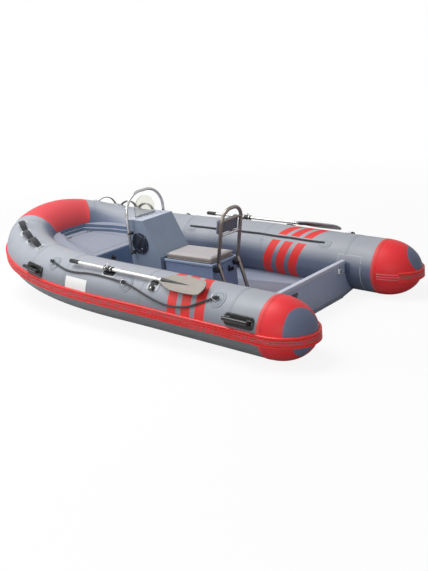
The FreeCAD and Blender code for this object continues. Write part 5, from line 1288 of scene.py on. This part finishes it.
class BOAT_OT_seat(bpy.types.Operator):
    """Trim the jockey seat: a black strip under the cushion, piping, gasket and latch lever"""
    bl_idname = "boat.seat"
    bl_label = "Seat trim"

    def execute(self, context):
        low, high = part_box("seat_cushion")
        middle, spans = (low + high) / 2, high - low
        # A thin black strip lies under the cushion and shows as a dark line below its edge.
        strip_under_cushion = block(spans.x - 0.002, spans.y - 0.002, 0.0045, (middle.x, middle.y, low.z + 0.0015))
        dressed(rounded(strip_under_cushion, 0.001, 2), "cushion_black_strip", "black_plastic", "seat_lid", sharp=None)
        gasket = rounded(block(0.531, 0.316, 0.0035, (-0.1625, 0, 0.3427)), 0.0012, 2)
        dressed(gasket, "seat_gasket", "black_plastic", sharp=None)
        inset = 0.0022
        welts = [
            cushion_welt(middle.x, spans.x / 2 - inset, spans.y / 2 - inset, level)
            for level in (high.z - 0.0095, low.z + 0.008)]
        dressed(welts, "cushion_piping", "cushion_side", "seat_lid", sharp=60.0)
        lever = rounded(block(0.008, 0.015, 0.05, (-0.4385, -0.043, 0.287)), 0.003, 3, 20)
        pull = rounded(block(0.012, 0.06, 0.014, (-0.4395, -0.068, 0.264)), 0.004, 3, 20)
        dressed([lever, pull], "seat_latch_lever", "handle_rubber")
        return {"FINISHED"}


def on_posts(y, height):
    """Point on the plane of the backrest's posts."""
    return Vector((POST_X - POST_AFT * (height - POST_Z) / POST_RISE, y, height))


class BOAT_OT_backrest(bpy.types.Operator):
    """Finish the backrest's frame: bright crossbar sleeve, welds and bolts"""
    bl_idname = "boat.backrest"
    bl_label = "Backrest trim"

    def execute(self, context):
        crossbar = 0.606
        sleeve = rounded(rod(0.0102, 0.206, facing(on_posts(0, crossbar), (0, 1, 0))), 0.0015)
        dressed(sleeve, "crossbar_sleeve", "pipe_steel")
        welds = [
            loop(0.0095, 0.0022, facing(on_posts(half * 0.1095, height), (0, 1, 0)), 32, 10)
            for height in (crossbar, 0.724) for half in (-1, 1)]
        leg = Vector((-0.096, 0, -0.325)).normalized()
        for half in (-1, 1):
            welds.append(loop(0.0155, 0.003, facing((-0.5655, half * 0.125, 0.0495), leg), 36, 10))
        dressed(welds, "frame_welds", "pipe_bronze", sharp=60.0)
        places = [
            facing((x, y * half, 0.047), (0, 0, 1))
            for x in (-0.594, -0.534) for y in (0.105, 0.145) for half in (-1, 1)]
        places += [facing((-0.4675, half * 0.142, 0.318), (0, half, 0)) for half in (-1, 1)]
        bolts = [bolt_head(0.0045, 0.004, place) for place in places]
        dressed(bolts, "frame_bolts", "bolt_steel")
        return {"FINISHED"}


# Two places on the bow deck's slope, along the boat and up.
DECK_AFT = (0.8, 0.36)
DECK_FORE = (1.462, 0.434)


def deck_flap(start, low, high, lift):
    """A strip on the port tube's inner side between two heights over the deck, up to the boat's middle."""
    strip = sheet(1, 1, 80, 6)
    radius = TUBE_RADIUS + lift
    slope = (DECK_FORE[1] - DECK_AFT[1]) / (DECK_FORE[0] - DECK_AFT[0])
    for vertex in strip.data.vertices:
        run = start + (AXIS_LENGTH - start) * (vertex.co.x + 0.5)
        middle = axis_at(run)[0]
        rise = DECK_AFT[1] + low + (high - low) * (vertex.co.y + 0.5)
        degrees = 190.0
        # The angle that reaches the height is found step by step, as the deck rises along the boat.
        for _ in range(6):
            point, along = on_tube(run, degrees, radius)[:2]
            drop = middle.z - rise - (point.x - DECK_AFT[0]) * slope
            share = drop / (radius * math.sqrt(1 - along.z * along.z))
            degrees = 180.0 + math.degrees(math.asin(max(-0.99, min(0.99, share))))
        vertex.co = on_tube(run, degrees, radius)[0]
    return mended(shaped(strip, "SOLIDIFY", thickness=0.002, offset=0.0))


def transom_patch(length, degrees, height, roundness, place, middle):
    """A patch on the port tube's inner side by the transom, so many degrees wide."""
    patch = fabric_patch(length, TUBE_RADIUS * math.radians(degrees), height, roundness, 40)
    return wrapped(patch, run_beside(place), middle)


class BOAT_OT_deck(bpy.types.Operator):
    """Add the deck's small parts: latch cups and pulls, knob flange, the transom's seam, and flaps and patches on
    the tubes
    """
    bl_idname = "boat.deck"
    bl_label = "Deck fittings"

    def execute(self, context):
        low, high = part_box("bow_hatch_latches")
        cups, pulls = [], []
        for half in (-1, 1):
            point = Vector(((low.x + high.x) / 2, half * 0.131, high.z - 0.0012))
            place = set_up(point, Vector((1, 0, 0.14)).normalized(), Vector((-0.14, 0, 1)).normalized())
            cups.append(settled(fabric_patch(0.019, 0.046, 0.0012, 0.9, 16), place))
            ring = loop(0.008, 0.0016, None, 28, 8)
            ring.data.transform(Matrix.Diagonal((0.8, 1.7, 1.0, 1.0)))
            pulls.append(settled(ring, place @ Matrix.Translation((0, 0, 0.0018))))
        dressed(cups, "latch_cups", "lid_navy", "bow_lid")
        dressed(pulls, "latch_pulls", "bolt_steel", "bow_lid", sharp=60.0)
        flange = rounded(rod(0.021, 0.003, facing((0.7903, 0.125, 0.294), (-1, 0, 0)), 36), 0.001, 2)
        rim = loop(0.0132, 0.0018, facing((0.7705, 0.125, 0.294), (-1, 0, 0)), 32, 10)
        dressed([flange, rim], "knob_flange", "black_plastic")
        seam = rounded(block(0.0012, 0.012, 0.2, (-1.2471, 0, 0.165)), 0.0004, 2)
        dressed(seam, "transom_seam", "transom_paint", sharp=None)
        # The strip is painted in the ledge's darker blue, as painted shade on an upright face.
        flap = deck_flap(run_beside(DECK_AFT[0]), -0.012, 0.06, 0.001)
        dressed_both(flap, "deck_flap", "flap_paint", sharp=50.0)
        for name, finish, sizing in (
                ("transom_flap", "transom_flap", (0.06, 72, 0.002, 0.0, -1.262, 201)),
                ("transom_patch_rim", "patch_pale", (0.215, 90, 0.0009, 0.03, -1.278, 193)),
                ("transom_patch", "tube_grey", (0.205, 87, 0.0013, 0.03, -1.278, 193))):
            dressed_both(transom_patch(*sizing), name, finish)
        return {"FINISHED"}


class BOAT_OT_stage(bpy.types.Operator):
    """Set up the floor, the lamps and the white surroundings"""
    bl_idname = "boat.stage"
    bl_label = "Stage"

    def execute(self, context):
        fresh()
        bpy.ops.mesh.primitive_plane_add(size=2400, location=(0, 0, 0))
        floor = settled(bpy.context.active_object)
        floor.name = "stage_floor"
        floor.data.materials.append(studio_floor("studio_floor", "f6f6f6", "83868c", sizes().stage_glow))
        world = bpy.data.worlds.new("studio")
        context.scene.world = world
        world.use_nodes = True
        tree = world.node_tree
        # The surroundings light the boat less than they show, and mirror brightly in its metal.
        strength = node(tree, "Math", (seen_ray(tree), 0.66, 0.34), operation="MULTIPLY_ADD")
        glossy = node(tree, "LightPath", out="Is Glossy Ray")
        strength = node(tree, "Math", (glossy, 0.4, strength), operation="MULTIPLY_ADD")
        fill(tree, tree.nodes["Background"], {"Color": (1, 1, 1, 1), "Strength": strength})
        for name, place, target, span, power in (
                ("key_lamp", (1.7, 1.3, 5.9), (0.2, 0, 0.2), 3.4, 275.0),
                ("fill_lamp", (-3.2, 6.0, 1.9), (0, 0, 0.3), 2.4, 70.0),
                ("bow_lamp", (3.6, 3.8, 3.4), (1.3, 0.6, 0.4), 2.0, 80.0)):
            data = bpy.data.lights.new(name, "AREA")
            data.energy = power
            data.size = span
            lamp = bpy.data.objects.new(name, data)
            context.scene.collection.objects.link(lamp)
            lamp.location = place
            lamp.rotation_euler = (Vector(target) - Vector(place)).to_track_quat("-Z", "Y").to_euler()
        context.scene.view_settings.view_transform = "Standard"
        return {"FINISHED"}


STEPS = [
    BOAT_OT_camera, BOAT_OT_ropes, BOAT_OT_finishes, BOAT_OT_strakes, BOAT_OT_cushion, BOAT_OT_backrest_pad,
    BOAT_OT_handles, BOAT_OT_seams, BOAT_OT_straps, BOAT_OT_ring_patches, BOAT_OT_oars, BOAT_OT_console,
    BOAT_OT_seat, BOAT_OT_backrest, BOAT_OT_deck, BOAT_OT_stage,
]


class BOAT_PT_sidebar(bpy.types.Panel):
    """Lists the steps that dress the boat, its sizes and its colours"""
    bl_idname = "BOAT_PT_sidebar"
    bl_label = "Boat dressing"
    bl_space_type = "VIEW_3D"
    bl_region_type = "UI"
    bl_category = "Boat"

    def draw(self, context):
        for step in STEPS:
            self.layout.operator(step.bl_idname)
        for group in (context.scene.boat_sizes, context.scene.boat_colours):
            for name in type(group).__annotations__:
                self.layout.prop(group, name)


KINDS = [BoatSizes, BoatColours] + STEPS + [BOAT_PT_sidebar]


def register():
    for kind in KINDS:
        bpy.utils.register_class(kind)
    bpy.types.Scene.boat_sizes = bpy.props.PointerProperty(type=BoatSizes)
    bpy.types.Scene.boat_colours = bpy.props.PointerProperty(type=BoatColours)


def unregister():
    del bpy.types.Scene.boat_colours
    del bpy.types.Scene.boat_sizes
    for kind in reversed(KINDS):
        bpy.utils.unregister_class(kind)


def main():
    """Register the add-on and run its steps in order."""
    register()
    make_finishes(bpy.context.scene.boat_colours)
    bpy.ops.boat.camera()
    bpy.ops.boat.ropes()
    bpy.ops.boat.finishes()
    bpy.ops.boat.strakes()
    bpy.ops.boat.cushion()
    bpy.ops.boat.backrest_pad()
    bpy.ops.boat.handles()
    bpy.ops.boat.seams()
    bpy.ops.boat.straps()
    bpy.ops.boat.ring_patches()
    bpy.ops.boat.oars()
    bpy.ops.boat.console()
    bpy.ops.boat.seat()
    bpy.ops.boat.backrest()
    bpy.ops.boat.deck()
    bpy.ops.boat.stage()


if __name__ == "__main__":
    main()
